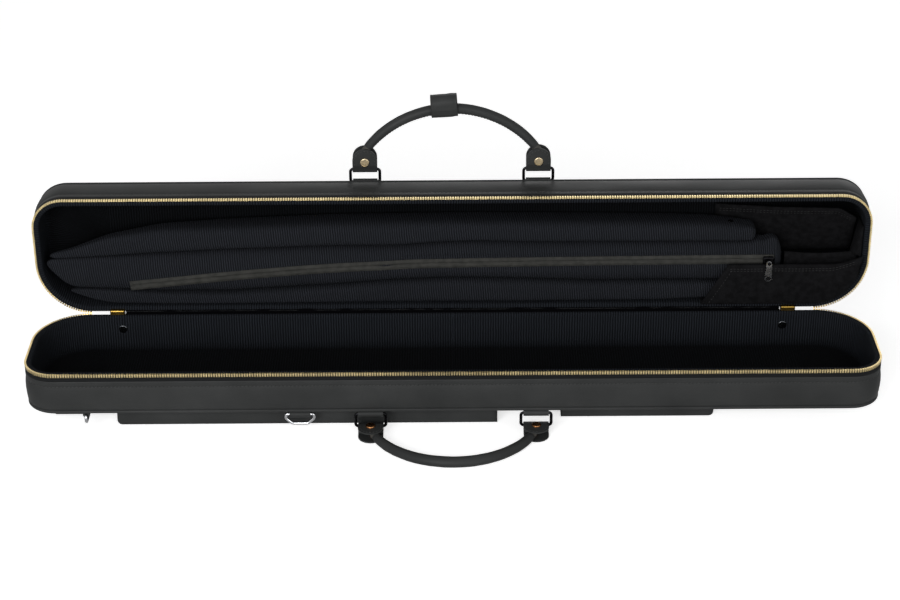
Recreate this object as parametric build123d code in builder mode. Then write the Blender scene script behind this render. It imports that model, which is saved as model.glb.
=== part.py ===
"""Pool cue case: a zipped leather clamshell case that stands open, with two cue sleeves in its lid.

The tray lies flat, opening upwards, and rests on the two pockets under it. The lid stands upright behind it.
X runs along the case, Y from its front to its back and Z up. The origin lies on the plane that the case rests
on, under the middle of the tray. All sizes are in millimetres.
"""

import os
from math import cos, radians, sin

from build123d import *

os.makedirs("parts", exist_ok=True)

# Shell of the case
case_length = 850
case_width = 128
half_depth = 44.5
zip_corner_radius = 32
hinge_corner_radius = 56
leather_thickness = 1.6
board_thickness = 3.0
lining_thickness = 2.0
board_edge_drop = 1.0
lining_edge_drop = 0.6
piping_radius = 1.7
piping_room = 0.1
board_edge_chamfer = 2.7
fit_gap = 0.3

# Zip round the rim, and the leather hinge behind
teeth_height = 3.6
teeth_width = 1.5
tape_height = 4.4
hinge_end_distance = 88
slider_length = 15
slider_width = 8
slider_height = 9
slider_edge = 1.5
slider_room = 0.45

# Pull tabs
pull_pin_radius = 1.0
pull_running_gap = 0.08
pull_eye_radius = 2.1
pull_length = 24
pull_width = 7
pull_thickness = 1.6
pull_drop = 7.0
pull_stand_off = 4.2
pull_ear_thickness = 1.2

# Pockets under the tray
pocket_depth = 25
pocket_leather = 2.0
pocket_corner_radius = 6
pocket_edge_radius = 3
pocket_back_inset = 1.5
long_pocket_end_distance = 88
long_pocket_mouth = 44
long_pocket_front_inset = 18
short_pocket_end_distance = 163
short_pocket_mouth = 108
short_pocket_front_inset = 28

# Leather loops, rings and handles
chape_width = 25
chape_thickness = 3.0
front_chape_reach = 13
back_chape_reach = 30
eye_radius = 3.4
eye_wall_gap = 0.3
eye_inset = 3.5
ring_wire_radius = 1.5
ring_running_gap = 0.15
ring_width = 30
ring_height = 14.3
ring_corner_radius = 3
front_ring_spacing = 164
back_ring_spacing = 177
strap_ring_x = -152
strap_ring_width = 28
strap_ring_height = 10.5
end_tab_end_distance = 61
end_tab_inset = 13
end_tab_reach = 30
end_tab_width = 20
end_ring_width = 22
end_ring_height = 7.5
handle_tab_width = 25
handle_tab_length = 24
handle_tab_half_thickness = 5.6
handle_leaf_thickness = 1.5
handle_fold_length = 6
grip_radius = 5.6
grip_leather = 1.6
front_arc_radius = 85.3
front_arc_half_span = 76.4
front_arc_start = 21
back_arc_radius = 107
back_arc_half_span = 88
back_arc_start = 20.1
core_stub = 5
grip_start_gap = 2.5
handle_rivet_height = 9.5
handle_rivet_shank = 1.6
handle_rivet_head = 4.8
handle_rivet_dome = 1.3
wrap_width = 27
wrap_thickness = 1.8
wrap_rise = 6.9
wrap_turn = 3.75

# Rivets through the wall behind the tray
wall_rivet_overhang = 3
wall_rivet_drop = 15
wall_rivet_shank = 1.5
wall_rivet_head = 4.5
wall_rivet_dome = 1.3

# Cue sleeves and end pocket in the lid
sleeve_front = 2.0
sleeve_full_back = 37.2
sleeve_front_flat = 0.3
sleeve_zip_gap = 0.2
sleeve_zip_thickness = 1.0
sleeve_zip_width = 10
sleeve_snap_end_distance = 142
sleeve_snap_v = 76.3
sleeve_snap_depth = 16
sleeve_snap_tilt = 10
sleeve_snap_radius = 2.6
sleeve_snap_rise = 1.2
sleeve_zip_end_distance = 97
sleeve_zip_end_v = 56
sleeve_slider_inset = 6
sleeve_slider_length = 11
sleeve_slider_width = 8
sleeve_slider_thickness = 4.0
sleeve_stud_radius = 1.0
sleeve_stud_head_radius = 1.9
sleeve_stud_head = 0.7
sleeve_pull_gap = 0.3
sleeve_pull_thickness = 1.2
sleeve_pull_length = 21
sleeve_pull_width = 5.2
sleeve_pull_end_width = 8
sleeve_pull_hole = 2.2
pocket_sheet = 2.0
pocket_bulge = 6.5
pocket_skirt_depth = 20
pocket_edge_gap = 0.4
pocket_top = 52.4
pocket_length = 161
pocket_slant = 25
divider_length = 74.5
divider_top = 62
divider_depth = 8
back_sheet_low = 50
gusset_low = 58
gusset_high = 92
gusset_front = 1.5
gusset_depth = 27

# Places that follow from the sizes above
left_end = -case_length / 2
right_end = case_length / 2
rim_z = pocket_depth + half_depth
hinge_y = case_width / 2
hinge_z = rim_z + fit_gap
wall_thickness = leather_thickness + board_thickness + lining_thickness
tape_bottom = teeth_height + tape_height
piping_level = half_depth - piping_radius
panel_inset = 2 * piping_radius + piping_room
board_bottom = half_depth - leather_thickness
lining_bottom = board_bottom - board_thickness
floor_level = lining_bottom - lining_thickness
hinge_half_length = right_end - hinge_end_distance
wall_rivet_x = hinge_half_length + wall_rivet_overhang
slider_x = hinge_half_length + fit_gap + slider_room + slider_length / 2
slider_gap_radius = ((slider_width / 2) ** 2 + (slider_height / 2) ** 2) ** 0.5 + slider_room
slider_gap_length = slider_length + 2 * slider_room
eye_height = eye_radius + eye_wall_gap
ring_hole = ring_wire_radius + ring_running_gap

# Each half is drawn on its own rim plane, which faces outwards, with the zip at +Y and the hinge at -Y
tray_rim = Plane(origin=(0, 0, rim_z), x_dir=(1, 0, 0), z_dir=(0, 0, -1))
lid_rim = Plane(
    origin=(0, hinge_y + fit_gap, hinge_z + case_width / 2), x_dir=(-1, 0, 0), z_dir=(0, 1, 0)
)


def half_plan(inset):
    """Outline of a half seen on its rim: small corners by the zip and wide ones by the hinge."""
    Rectangle(case_length - 2 * inset, case_width - 2 * inset)
    fillet(vertices().group_by(Axis.Y)[-1], zip_corner_radius - inset)
    fillet(vertices().group_by(Axis.Y)[0], hinge_corner_radius - inset)


def wall_band(rim, top, bottom, outer, inner):
    """Band of wall all round a half, between two depths below its rim."""
    with BuildPart() as band:
        with BuildSketch(rim.offset(top)):
            half_plan(outer)
        extrude(amount=bottom - top)
        with BuildSketch(rim.offset(top)):
            half_plan(inner)
        extrude(amount=bottom - top, mode=Mode.SUBTRACT)
    return band


def hinge_block(rim, half_length, mode):
    """Block over the straight stretch of rim beside the hinge."""
    with BuildSketch(rim.offset(-1)) as stretch:
        with Locations((0, -case_width / 2)):
            Rectangle(2 * half_length, 3 * wall_thickness)
    extrude(stretch.sketch, amount=tape_bottom + 2, mode=mode)


def cut_slider_gaps():
    """Room round the hinge axis for the two zip sliders, in whichever piece is being made."""
    with Locations((-slider_x, hinge_y, hinge_z), (slider_x, hinge_y, hinge_z)):
        Cylinder(slider_gap_radius, slider_gap_length, rotation=(0, 90, 0), mode=Mode.SUBTRACT)


def cut_wall_rivet_holes():
    """Holes through the wall behind the tray."""
    with Locations(*wall_rivet_places):
        Cylinder(wall_rivet_shank, 4 * wall_thickness, rotation=(90, 0, 0), mode=Mode.SUBTRACT)


wall_rivet_places = [
    (-wall_rivet_x, hinge_y, rim_z - wall_rivet_drop),
    (wall_rivet_x, hinge_y, rim_z - wall_rivet_drop),
]


def make_boxing(rim, with_rivets):
    """Leather wall band, from the zip tape down to the piping."""
    with BuildPart() as boxing:
        add(wall_band(rim, tape_bottom, piping_level - piping_radius - piping_room, 0, leather_thickness))
        cut_slider_gaps()
        if with_rivets:
            cut_wall_rivet_holes()
    return boxing


def make_panel(rim):
    """Leather panel over the large outer face."""
    with BuildPart() as face:
        with BuildSketch(rim.offset(board_bottom)):
            half_plan(panel_inset)
        extrude(amount=leather_thickness)
    return face


def make_piping(rim):
    """Round welt in the seam between the wall band and the face panel."""
    with BuildSketch(rim.offset(piping_level)) as course:
        half_plan(piping_radius)
    run = course.sketch.faces()[0].outer_wire()
    with BuildPart() as piping:
        with BuildSketch(Plane(origin=run @ 0, z_dir=run % 0)):
            Circle(piping_radius)
        sweep(path=run)
    return piping


def make_board(rim, with_rivets):
    """Stiff inner tray that gives a half its shape."""
    with BuildPart() as board:
        with BuildSketch(rim.offset(board_edge_drop)):
            half_plan(leather_thickness)
        extrude(amount=board_bottom - board_edge_drop)
        bottom_face = faces().sort_by(Axis(rim.origin, rim.z_dir))[-1]
        chamfer(bottom_face.edges(), board_edge_chamfer)
        with BuildSketch(rim.offset(board_edge_drop)):
            half_plan(leather_thickness + board_thickness)
        extrude(amount=lining_bottom - board_edge_drop, mode=Mode.SUBTRACT)
        cut_slider_gaps()
        if with_rivets:
            cut_wall_rivet_holes()
    return board


def make_wall_lining(rim, with_rivets):
    """Ribbed cloth round the inside of the wall."""
    with BuildPart() as wall_lining:
        add(wall_band(rim, lining_edge_drop, lining_bottom, wall_thickness - lining_thickness, wall_thickness))
        cut_slider_gaps()
        if with_rivets:
            cut_wall_rivet_holes()
    return wall_lining


def make_floor_lining(rim):
    """Padded cloth on the floor of a half."""
    with BuildPart() as floor_lining:
        with BuildSketch(rim.offset(floor_level)):
            half_plan(wall_thickness + piping_room)
        extrude(amount=lining_thickness)
    return floor_lining


def make_zip_tape(rim):
    """Tape that carries the teeth, sewn to the top of the wall everywhere but at the hinge."""
    with BuildPart() as tape:
        add(wall_band(rim, teeth_height, tape_bottom, 0, leather_thickness))
        hinge_block(rim, hinge_half_length + piping_room, Mode.SUBTRACT)
        cut_slider_gaps()
    return tape


def make_zip_teeth(rim):
    """One half of the zip's teeth, as the strip that they fill along the rim."""
    with BuildPart() as teeth:
        add(wall_band(rim, 0, teeth_height, 0, teeth_width))
        hinge_block(rim, slider_x + slider_gap_length / 2, Mode.SUBTRACT)
    return teeth


def make_hinge_strip(rim):
    """Half of the leather strip that joins the two halves, sewn flush into the wall."""
    with BuildPart() as strip:
        add(wall_band(rim, 0, tape_bottom, 0, leather_thickness))
        hinge_block(rim, hinge_half_length, Mode.INTERSECT)
    return strip


tray_boxing = make_boxing(tray_rim, True)
tray_face = make_panel(tray_rim)
tray_piping = make_piping(tray_rim)
tray_board = make_board(tray_rim, True)
tray_wall_lining = make_wall_lining(tray_rim, True)
tray_floor_lining = make_floor_lining(tray_rim)
tray_zip_tape = make_zip_tape(tray_rim)
tray_zip_teeth = make_zip_teeth(tray_rim)
tray_hinge_strip = make_hinge_strip(tray_rim)

lid_boxing = make_boxing(lid_rim, False)
lid_face = make_panel(lid_rim)
lid_piping = make_piping(lid_rim)
lid_board = make_board(lid_rim, False)
lid_wall_lining = make_wall_lining(lid_rim, False)
lid_floor_lining = make_floor_lining(lid_rim)
lid_zip_tape = make_zip_tape(lid_rim)
lid_zip_teeth = make_zip_teeth(lid_rim)
lid_hinge_strip = make_hinge_strip(lid_rim)

# Two rivets through the wall behind the tray, domed inside and outside
with BuildPart() as wall_rivets:
    with Locations(*wall_rivet_places):
        with Locations((0, -wall_thickness / 2, 0)):
            Cylinder(wall_rivet_shank, wall_thickness, rotation=(90, 0, 0))
        with Locations((0, wall_rivet_dome / 2, 0)):
            Cylinder(wall_rivet_head, wall_rivet_dome, rotation=(90, 0, 0))
        with Locations((0, -wall_thickness - wall_rivet_dome / 2, 0)):
            Cylinder(wall_rivet_head, wall_rivet_dome, rotation=(90, 0, 0))
    outer_rims = edges().filter_by(GeomType.CIRCLE).group_by(Axis.Y)
    fillet(outer_rims[-1] + outer_rims[0], wall_rivet_dome * 0.7)


def make_pocket(left, right, front_inset, open_right):
    """Flat leather pouch sewn under the tray, with its mouth at one end."""
    front = -hinge_y + front_inset
    back = hinge_y - pocket_back_inset
    middle = ((left + right) / 2, (front + back) / 2)
    hollow_left = left + (0 if not open_right else pocket_leather)
    hollow_right = right - (0 if open_right else pocket_leather)
    with BuildPart() as pocket:
        with BuildSketch():
            with Locations(middle):
                Rectangle(right - left, back - front)
        extrude(amount=pocket_depth)
        closed_end = edges().filter_by(Axis.Z).group_by(Axis.X)[0 if open_right else -1]
        fillet(closed_end, pocket_corner_radius)
        bottom_edges = faces().sort_by(Axis.Z)[0].edges()
        mouth_edge = bottom_edges.sort_by(Axis.X)[-1 if open_right else 0]
        fillet([edge for edge in bottom_edges if edge is not mouth_edge], pocket_edge_radius)
        with BuildSketch(Plane.XY.offset(pocket_leather)):
            with Locations(((hollow_left + hollow_right) / 2, middle[1])):
                Rectangle(hollow_right - hollow_left, back - front - 2 * pocket_leather)
        extrude(amount=pocket_depth, mode=Mode.SUBTRACT)
    return pocket


long_pocket = make_pocket(
    left_end + long_pocket_end_distance, long_pocket_mouth, long_pocket_front_inset, True
)
short_pocket = make_pocket(
    short_pocket_mouth, right_end - short_pocket_end_distance, short_pocket_front_inset, False
)


def chape_section(rim, x):
    """Plane across a half at x, with the zip side along its own X and outwards along its own Y."""
    return Plane(
        origin=rim.from_local_coords((x, case_width / 2 - eye_inset, half_depth)),
        x_dir=rim.y_dir,
        z_dir=rim.x_dir,
    )


def add_chape(section, width, reach):
    """Leather loop whose plate is sewn to the case and whose eye goes round a ring's bar."""
    with BuildSketch(section) as profile:
        with Locations((-reach / 2, chape_thickness / 2)):
            Rectangle(reach, chape_thickness)
        with Locations((0, eye_height)):
            Circle(eye_radius)
            Circle(ring_hole, mode=Mode.SUBTRACT)
    extrude(profile.sketch, amount=width / 2, both=True)


def add_wire(plane, corners, radii, wire_radius):
    """Closed ring of round wire bent at the given corners."""
    with BuildLine(plane) as course:
        FilletPolyline(*corners, radius=radii, close=True)
    run = course.wires()[0]
    with BuildSketch(Plane(origin=run @ 0, z_dir=run % 0)) as section:
        Circle(wire_radius)
    sweep(section.sketch, path=run)


def add_square_ring(plane, width, height):
    """Oblong ring, with its held bar on the plane's X axis and its free bar along +Y."""
    half = width / 2
    corners = [(0, 0), (half, 0), (half, height), (-half, height), (-half, 0)]
    add_wire(plane, corners, [0] + 4 * [ring_corner_radius], ring_wire_radius)


def add_d_ring(plane, width, height):
    """Strap ring with a straight bar on the plane's X axis and a bow along +Y."""
    half = width / 2
    corners = [
        (0, 0),
        (half, 0),
        (half, height * 0.45),
        (half * 0.55, height),
        (-half * 0.55, height),
        (-half, height * 0.45),
        (-half, 0),
    ]
    radii = [0] + [height * 0.2] + 4 * [height * 0.4] + [height * 0.2]
    add_wire(plane, corners, radii, ring_wire_radius)


def make_ring_pair(y, z, spacing, hang):
    """The two rings of a handle, which turn as one because the handle joins them."""
    across = Vector(1, 0, 0).cross(Vector(*hang))
    with BuildPart() as rings:
        for side in (-1, 1):
            place = (side * spacing / 2, y, z)
            add_square_ring(Plane(origin=place, x_dir=(1, 0, 0), z_dir=across), ring_width, ring_height)
    return rings


def make_chape_pair(rim, spacing, reach):
    """The two leather loops that hold a handle's rings."""
    with BuildPart() as chapes:
        for side in (-1, 1):
            add_chape(chape_section(rim, side * spacing / 2), chape_width, reach)
    return chapes


front_eye_y = -hinge_y + eye_inset
front_eye_z = pocket_depth - eye_height
back_eye_y = hinge_y + fit_gap + half_depth + eye_height
back_eye_z = hinge_z + case_width - eye_inset
front_bar_z = front_eye_z - ring_height
back_bar_z = back_eye_z + ring_height

front_chapes = make_chape_pair(tray_rim, front_ring_spacing, front_chape_reach)
back_chapes = make_chape_pair(lid_rim, back_ring_spacing, back_chape_reach)
front_rings = make_ring_pair(front_eye_y, front_eye_z, front_ring_spacing, (0, 0, -1))
back_rings = make_ring_pair(back_eye_y, back_eye_z, back_ring_spacing, (0, 0, 1))

with BuildPart() as strap_chape:
    add_chape(chape_section(tray_rim, strap_ring_x), chape_width - 4, front_chape_reach)
with BuildPart() as strap_ring:
    add_d_ring(
        Plane(origin=(strap_ring_x, front_eye_y, front_eye_z), x_dir=(1, 0, 0), z_dir=(0, 1, 0)),
        strap_ring_width,
        strap_ring_height,
    )

end_tab_right = left_end + end_tab_end_distance
end_tab_y = -hinge_y + end_tab_inset
with BuildPart() as end_tab:
    add_chape(
        Plane(origin=(end_tab_right, end_tab_y, pocket_depth), x_dir=(1, 0, 0), z_dir=(0, 1, 0)),
        end_tab_width - 4,
        end_tab_reach,
    )
with BuildPart() as end_ring:
    add_square_ring(
        Plane(origin=(end_tab_right, end_tab_y, front_eye_z), x_dir=(0, 1, 0), z_dir=(-1, 0, 0)),
        end_ring_width,
        end_ring_height,
    )


class Handle:
    """Sizes and pieces of one handle, drawn on a plane whose X axis joins its two ring bars."""

    def __init__(self, plane, spacing, arc_radius, half_span, start):
        self.plane = plane
        self.spacing = spacing
        self.arc_radius = arc_radius
        self.half_span = half_span
        self.centre = start - (arc_radius**2 - half_span**2) ** 0.5
        self.apex = self.centre + arc_radius
        self.end_angle = (Vector(half_span, start - self.centre)).get_angle(Vector(1, 0))

    def on_arc(self, angle):
        """Point of the centre line, at an angle from the plane's X axis."""
        turn = radians(angle)
        return (self.arc_radius * cos(turn), self.centre + self.arc_radius * sin(turn))

    def add_tube(self, radius, end_angle, stub, mode=Mode.ADD):
        """Round tube along the arc, with a straight stub past each end."""
        first = self.on_arc(180 - end_angle)
        last = self.on_arc(end_angle)
        drop = Vector(sin(radians(end_angle)), -cos(radians(end_angle))) * stub
        with BuildLine(self.plane) as course:
            if stub:
                Line((first[0] - drop.X, first[1] + drop.Y), first)
            ThreePointArc(first, self.on_arc(90), last)
            if stub:
                Line(last, (last[0] + drop.X, last[1] + drop.Y))
        run = course.wires()[0]
        with BuildSketch(Plane(origin=run @ 0, z_dir=run % 0)) as section:
            Circle(radius)
        sweep(section.sketch, path=run, mode=mode)

    def make_core(self):
        """Stiff core that runs into both tabs."""
        with BuildPart() as core:
            self.add_tube(grip_radius - grip_leather, self.end_angle, core_stub)
        return core

    def make_grip(self):
        """Leather sewn round the core, ending just short of the tabs."""
        reach = handle_tab_width / 2 + grip_start_gap
        step = 0.25
        angle = self.end_angle
        while self.tab_distance(angle) < reach:
            angle += step
        with BuildPart() as grip:
            self.add_tube(grip_radius, angle, 0)
            self.add_tube(grip_radius - grip_leather, angle, 0, Mode.SUBTRACT)
        return grip

    def tab_distance(self, angle):
        """Distance of a point of the centre line from the middle of the tab's round end."""
        x, y = self.on_arc(angle)
        return ((x - self.spacing / 2) ** 2 + (y - handle_tab_length + handle_tab_width / 2) ** 2) ** 0.5

    def make_tabs(self):
        """Leather folded round each ring's free bar, with a leaf on either face of the core."""
        leaf_inside = handle_tab_half_thickness - handle_leaf_thickness
        fold = handle_fold_length
        length = handle_tab_length
        outline = [(0, -eye_radius), (fold, -handle_tab_half_thickness), (length, -handle_tab_half_thickness)]
        outline += [(x, -y) for x, y in reversed(outline)]
        inside = [(fold - 1.5, 0), (fold + 1, -leaf_inside), (length, -leaf_inside)]
        inside += [(x, -y) for x, y in reversed(inside[1:])]
        across = Plane(origin=self.plane.origin, x_dir=self.plane.y_dir, z_dir=self.plane.x_dir)
        with BuildPart() as tabs:
            for side in (-1, 1):
                with BuildSketch(across.offset(side * self.spacing / 2)):
                    Circle(eye_radius)
                    Polygon(*outline, align=None)
                    Polygon(*inside, align=None, mode=Mode.SUBTRACT)
                    Circle(ring_hole, mode=Mode.SUBTRACT)
                extrude(amount=handle_tab_width / 2, both=True)
            with BuildSketch(self.plane):
                for side in (-1, 1):
                    with Locations((side * self.spacing / 2, length - handle_tab_width)):
                        SlotCenterToCenter(handle_tab_width, handle_tab_width, rotation=90)
            extrude(amount=2 * handle_tab_half_thickness, both=True, mode=Mode.INTERSECT)
            with Locations(*self.rivet_places()):
                Cylinder(handle_rivet_shank, 4 * handle_tab_half_thickness, mode=Mode.SUBTRACT)
        return tabs

    def rivet_places(self):
        """Where the rivets pass through the tabs, square to the handle's plane."""
        return [
            self.plane * Location((side * self.spacing / 2, handle_rivet_height, 0)) for side in (-1, 1)
        ]

    def make_rivets(self):
        """Rivets with a low dome on each side of the tabs."""
        side = handle_tab_half_thickness
        with BuildPart() as rivets:
            with Locations(*self.rivet_places()):
                Cylinder(handle_rivet_shank, 2 * side)
                for face in (-1, 1):
                    with Locations((0, 0, face * (side + handle_rivet_dome / 2))):
                        Cylinder(handle_rivet_head, handle_rivet_dome)
            outward = Axis(self.plane.origin, self.plane.z_dir)
            rims = edges().filter_by(GeomType.CIRCLE).group_by(outward)
            fillet(rims[0] + rims[-1], handle_rivet_dome * 0.7)
        return rivets


front_handle = Handle(
    Plane(origin=(0, front_eye_y, front_bar_z), x_dir=(1, 0, 0), z_dir=(0, 0, -1)),
    front_ring_spacing,
    front_arc_radius,
    front_arc_half_span,
    front_arc_start,
)
back_handle = Handle(
    Plane(origin=(0, back_eye_y, back_bar_z), x_dir=(1, 0, 0), z_dir=(0, -1, 0)),
    back_ring_spacing,
    back_arc_radius,
    back_arc_half_span,
    back_arc_start,
)
front_handle_core = front_handle.make_core()
front_handle_grip = front_handle.make_grip()
front_handle_tabs = front_handle.make_tabs()
front_handle_rivets = front_handle.make_rivets()
back_handle_core = back_handle.make_core()
back_handle_grip = back_handle.make_grip()
back_handle_tabs = back_handle.make_tabs()
back_handle_rivets = back_handle.make_rivets()

# Leather wrap that hangs on the back handle, a little left of its middle
wrap_sag = back_arc_radius - (back_arc_radius**2 - (wrap_width / 2) ** 2) ** 0.5
wrap_inside = grip_radius + wrap_sag + fit_gap
wrap_place = back_handle.on_arc(90 + wrap_turn)
wrap_origin = (wrap_place[0], back_eye_y, back_bar_z + wrap_place[1])
wrap_along = (cos(radians(wrap_turn)), 0, sin(radians(wrap_turn)))
wrap_upwards = (-sin(radians(wrap_turn)), 0, cos(radians(wrap_turn)))
with BuildPart() as handle_wrap:
    with BuildSketch(Plane(origin=wrap_origin, x_dir=wrap_upwards, z_dir=wrap_along)):
        with Locations((wrap_rise / 2, 0)):
            SlotCenterToCenter(wrap_rise, 2 * (wrap_inside + wrap_thickness))
            SlotCenterToCenter(wrap_rise, 2 * wrap_inside, mode=Mode.SUBTRACT)
    extrude(amount=wrap_width / 2, both=True)

# Sliders of the main zip, parked in their gaps at the two ends of the hinge
pull_pin_y = hinge_y + pull_stand_off
pull_pin_z = hinge_z - pull_drop
with BuildPart() as main_sliders:
    for side in (-1, 1):
        with Locations((side * slider_x, hinge_y, hinge_z)):
            Box(slider_length, slider_width, slider_height)
    fillet(edges(), slider_edge)
    for side in (-1, 1):
        for end in (-1, 1):
            ear_x = side * slider_x + end * (pull_width - 1 + pull_ear_thickness) / 2
            with BuildSketch(Plane.YZ.offset(ear_x)):
                with Locations((pull_pin_y, pull_pin_z)):
                    Circle(pull_eye_radius - 0.2)
                with Locations((pull_pin_y - 1, hinge_z - (pull_drop + 2) / 2)):
                    Rectangle(3.6, pull_drop - 2)
            extrude(amount=pull_ear_thickness / 2, both=True)
        with Locations((side * slider_x, pull_pin_y, pull_pin_z)):
            Cylinder(pull_pin_radius, pull_width, rotation=(0, 90, 0))


def make_main_pull(x):
    """Pull tab that hangs from a slider's pin behind the tray."""
    with BuildPart() as pull:
        with BuildSketch(Plane.XZ.offset(-pull_pin_y)):
            with Locations((x, pull_pin_z - pull_length / 2)):
                Rectangle(pull_width, pull_length)
            fillet(vertices().group_by(Axis.Y)[0], pull_width * 0.45)
            with Locations((x, pull_pin_z)):
                Rectangle(pull_width + 1, 2 * pull_eye_radius + 3, mode=Mode.SUBTRACT)
            with Locations((x, pull_pin_z - pull_eye_radius / 2 - 1)):
                Rectangle(pull_width - 1.4, pull_eye_radius + 2)
        extrude(amount=pull_thickness / 2, both=True)
        with Locations((x, pull_pin_y, pull_pin_z)):
            Cylinder(pull_eye_radius, pull_width - 1.4, rotation=(0, 90, 0))
            Cylinder(
                pull_pin_radius + pull_running_gap, pull_width + 1, rotation=(0, 90, 0), mode=Mode.SUBTRACT
            )
    return pull


left_main_pull = make_main_pull(-slider_x)
right_main_pull = make_main_pull(slider_x)

# Inside the lid: X along the case, heights up from the hinge, depths back from the rim
lid_y = hinge_y + fit_gap
sleeve_back = floor_level - fit_gap


def lid_section(x):
    """Plane across the lid at x, with heights along its X axis and depths along its Y axis."""
    return Plane(origin=(x, lid_y, hinge_z), x_dir=(0, 0, 1), z_dir=(-1, 0, 0))


def lid_view(depth):
    """Plane seen from the front at a depth in the lid, with X along the case and heights along Y."""
    return Plane(origin=(0, lid_y + depth, hinge_z), x_dir=(1, 0, 0), z_dir=(0, -1, 0))


def make_sleeve(stations, grow=0):
    """Stuffed cloth sleeve through stations of place, low edge, high edge and depth of the back."""
    sections = []
    for x, low, high, back in stations:
        bottom = low - grow
        top = high + grow
        front = sleeve_front - grow
        rear_corner = (top - bottom) * 0.2
        front_corner = (top - bottom) * (1 - sleeve_front_flat) / 2
        middle = (front + back) / 2
        with BuildSketch(lid_section(x)) as section:
            with BuildLine():
                Line((bottom + rear_corner, back), (top - rear_corner, back))
                ThreePointArc((top - rear_corner, back), (top, middle), (top - front_corner, front))
                Line((top - front_corner, front), (bottom + front_corner, front))
                ThreePointArc((bottom + front_corner, front), (bottom, middle), (bottom + rear_corner, back))
            make_face()
        sections.append(section.sketch)
    with BuildPart() as sleeve:
        loft(sections, ruled=True)
    return sleeve


upper_sleeve_stations = [
    (left_end + 15, 61, 64.5, 6),
    (left_end + 37, 61.5, 70, 9),
    (left_end + 75, 62.8, 84, 18),
    (left_end + 128, 65.2, 92, 28),
    (left_end + 195, 68.5, 93.5, 35),
    (left_end + 301, 71.5, 97, sleeve_full_back),
    (-55, 71.7, 97.6, sleeve_full_back),
    (-10, 75.2, 97.8, sleeve_full_back),
    (28, 76.5, 97.6, sleeve_full_back),
    (70, 74.7, 97.4, sleeve_full_back),
    (right_end - 215, 74.6, 95.5, sleeve_full_back),
    (right_end - 163, 74.5, 95, 33),
    (right_end - 116, 74.5, 90.5, 24),
]
middle_sleeve_stations = [
    (left_end + 13, 52, 59.5, 6),
    (left_end + 22, 40.5, 60, 8),
    (left_end + 29, 31, 60.3, 9.5),
    (left_end + 37, 28, 60.6, 11),
    (left_end + 75, 25.5, 61.8, 18),
    (left_end + 128, 21.6, 64.2, 28),
    (left_end + 195, 20.3, 67.5, 35),
    (left_end + 301, 26.4, 70.5, sleeve_full_back),
    (-55, 31.9, 70.7, sleeve_full_back),
    (-10, 33.5, 74.2, sleeve_full_back),
    (28, 33.3, 75.5, sleeve_full_back),
    (70, 32.3, 73.7, sleeve_full_back),
    (150, 29.1, 73.6, sleeve_full_back),
    (right_end - 215, 29.6, 73.6, sleeve_full_back),
    (right_end - 163, 30.1, 73.5, 33),
    (right_end - 115.5, 31, 73.5, 26),
    (right_end - 111, 31.5, 78.5, 25),
    (right_end - 97, 33, 79.5, 22),
    (right_end - 89, 38, 76, 19),
]
lower_sleeve_stations = [
    (left_end + 33, 24, 26.5, 7),
    (left_end + 47, 17.5, 26.2, 10),
    (left_end + 59, 13, 25.6, 13),
    (left_end + 75, 8.8, 24.5, 18),
    (left_end + 128, 7.8, 20.6, 28),
    (left_end + 195, 7.8, 19.3, 35),
    (left_end + 301, 7.8, 25.4, sleeve_full_back),
    (-55, 7.8, 30.9, sleeve_full_back),
    (-10, 7.8, 32.5, sleeve_full_back),
    (28, 7.8, 32.3, sleeve_full_back),
    (70, 7.8, 31.3, sleeve_full_back),
    (150, 7.8, 28.1, sleeve_full_back),
    (right_end - 215, 7.8, 28.6, 36),
    (right_end - 173, 10, 29, 32),
    (right_end - 140, 12, 28, 22),
]
upper_sleeve = make_sleeve(upper_sleeve_stations)
middle_sleeve = make_sleeve(middle_sleeve_stations)
lower_sleeve = make_sleeve(lower_sleeve_stations)

# Zip of the middle sleeve: a ribbon of tape that hugs the sleeve's front
zip_course = [
    (left_end + 95, 31),
    (left_end + 225, 44),
    (-60, 53),
    (60, 54.5),
    (right_end - sleeve_zip_end_distance, sleeve_zip_end_v),
]
with BuildPart() as sleeve_zip:
    with BuildSketch(lid_view(sleeve_back / 4)):
        with BuildLine():
            Spline(*zip_course)
        trace(line_width=sleeve_zip_width)
    extrude(amount=sleeve_back)
    add(make_sleeve(middle_sleeve_stations, sleeve_zip_gap + sleeve_zip_thickness), mode=Mode.INTERSECT)
    add(make_sleeve(middle_sleeve_stations, sleeve_zip_gap), mode=Mode.SUBTRACT)

# Snap at the top of the upper sleeve
with BuildPart() as sleeve_snap:
    snap_place = (right_end - sleeve_snap_end_distance, lid_y + sleeve_snap_depth, hinge_z + sleeve_snap_v)
    with Locations(Location(snap_place, (sleeve_snap_tilt, 0, 0))):
        Cylinder(
            sleeve_snap_radius,
            sleeve_snap_depth + sleeve_snap_rise + 1,
            align=(Align.CENTER, Align.CENTER, Align.MIN),
        )
    add(upper_sleeve, mode=Mode.SUBTRACT)

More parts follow.
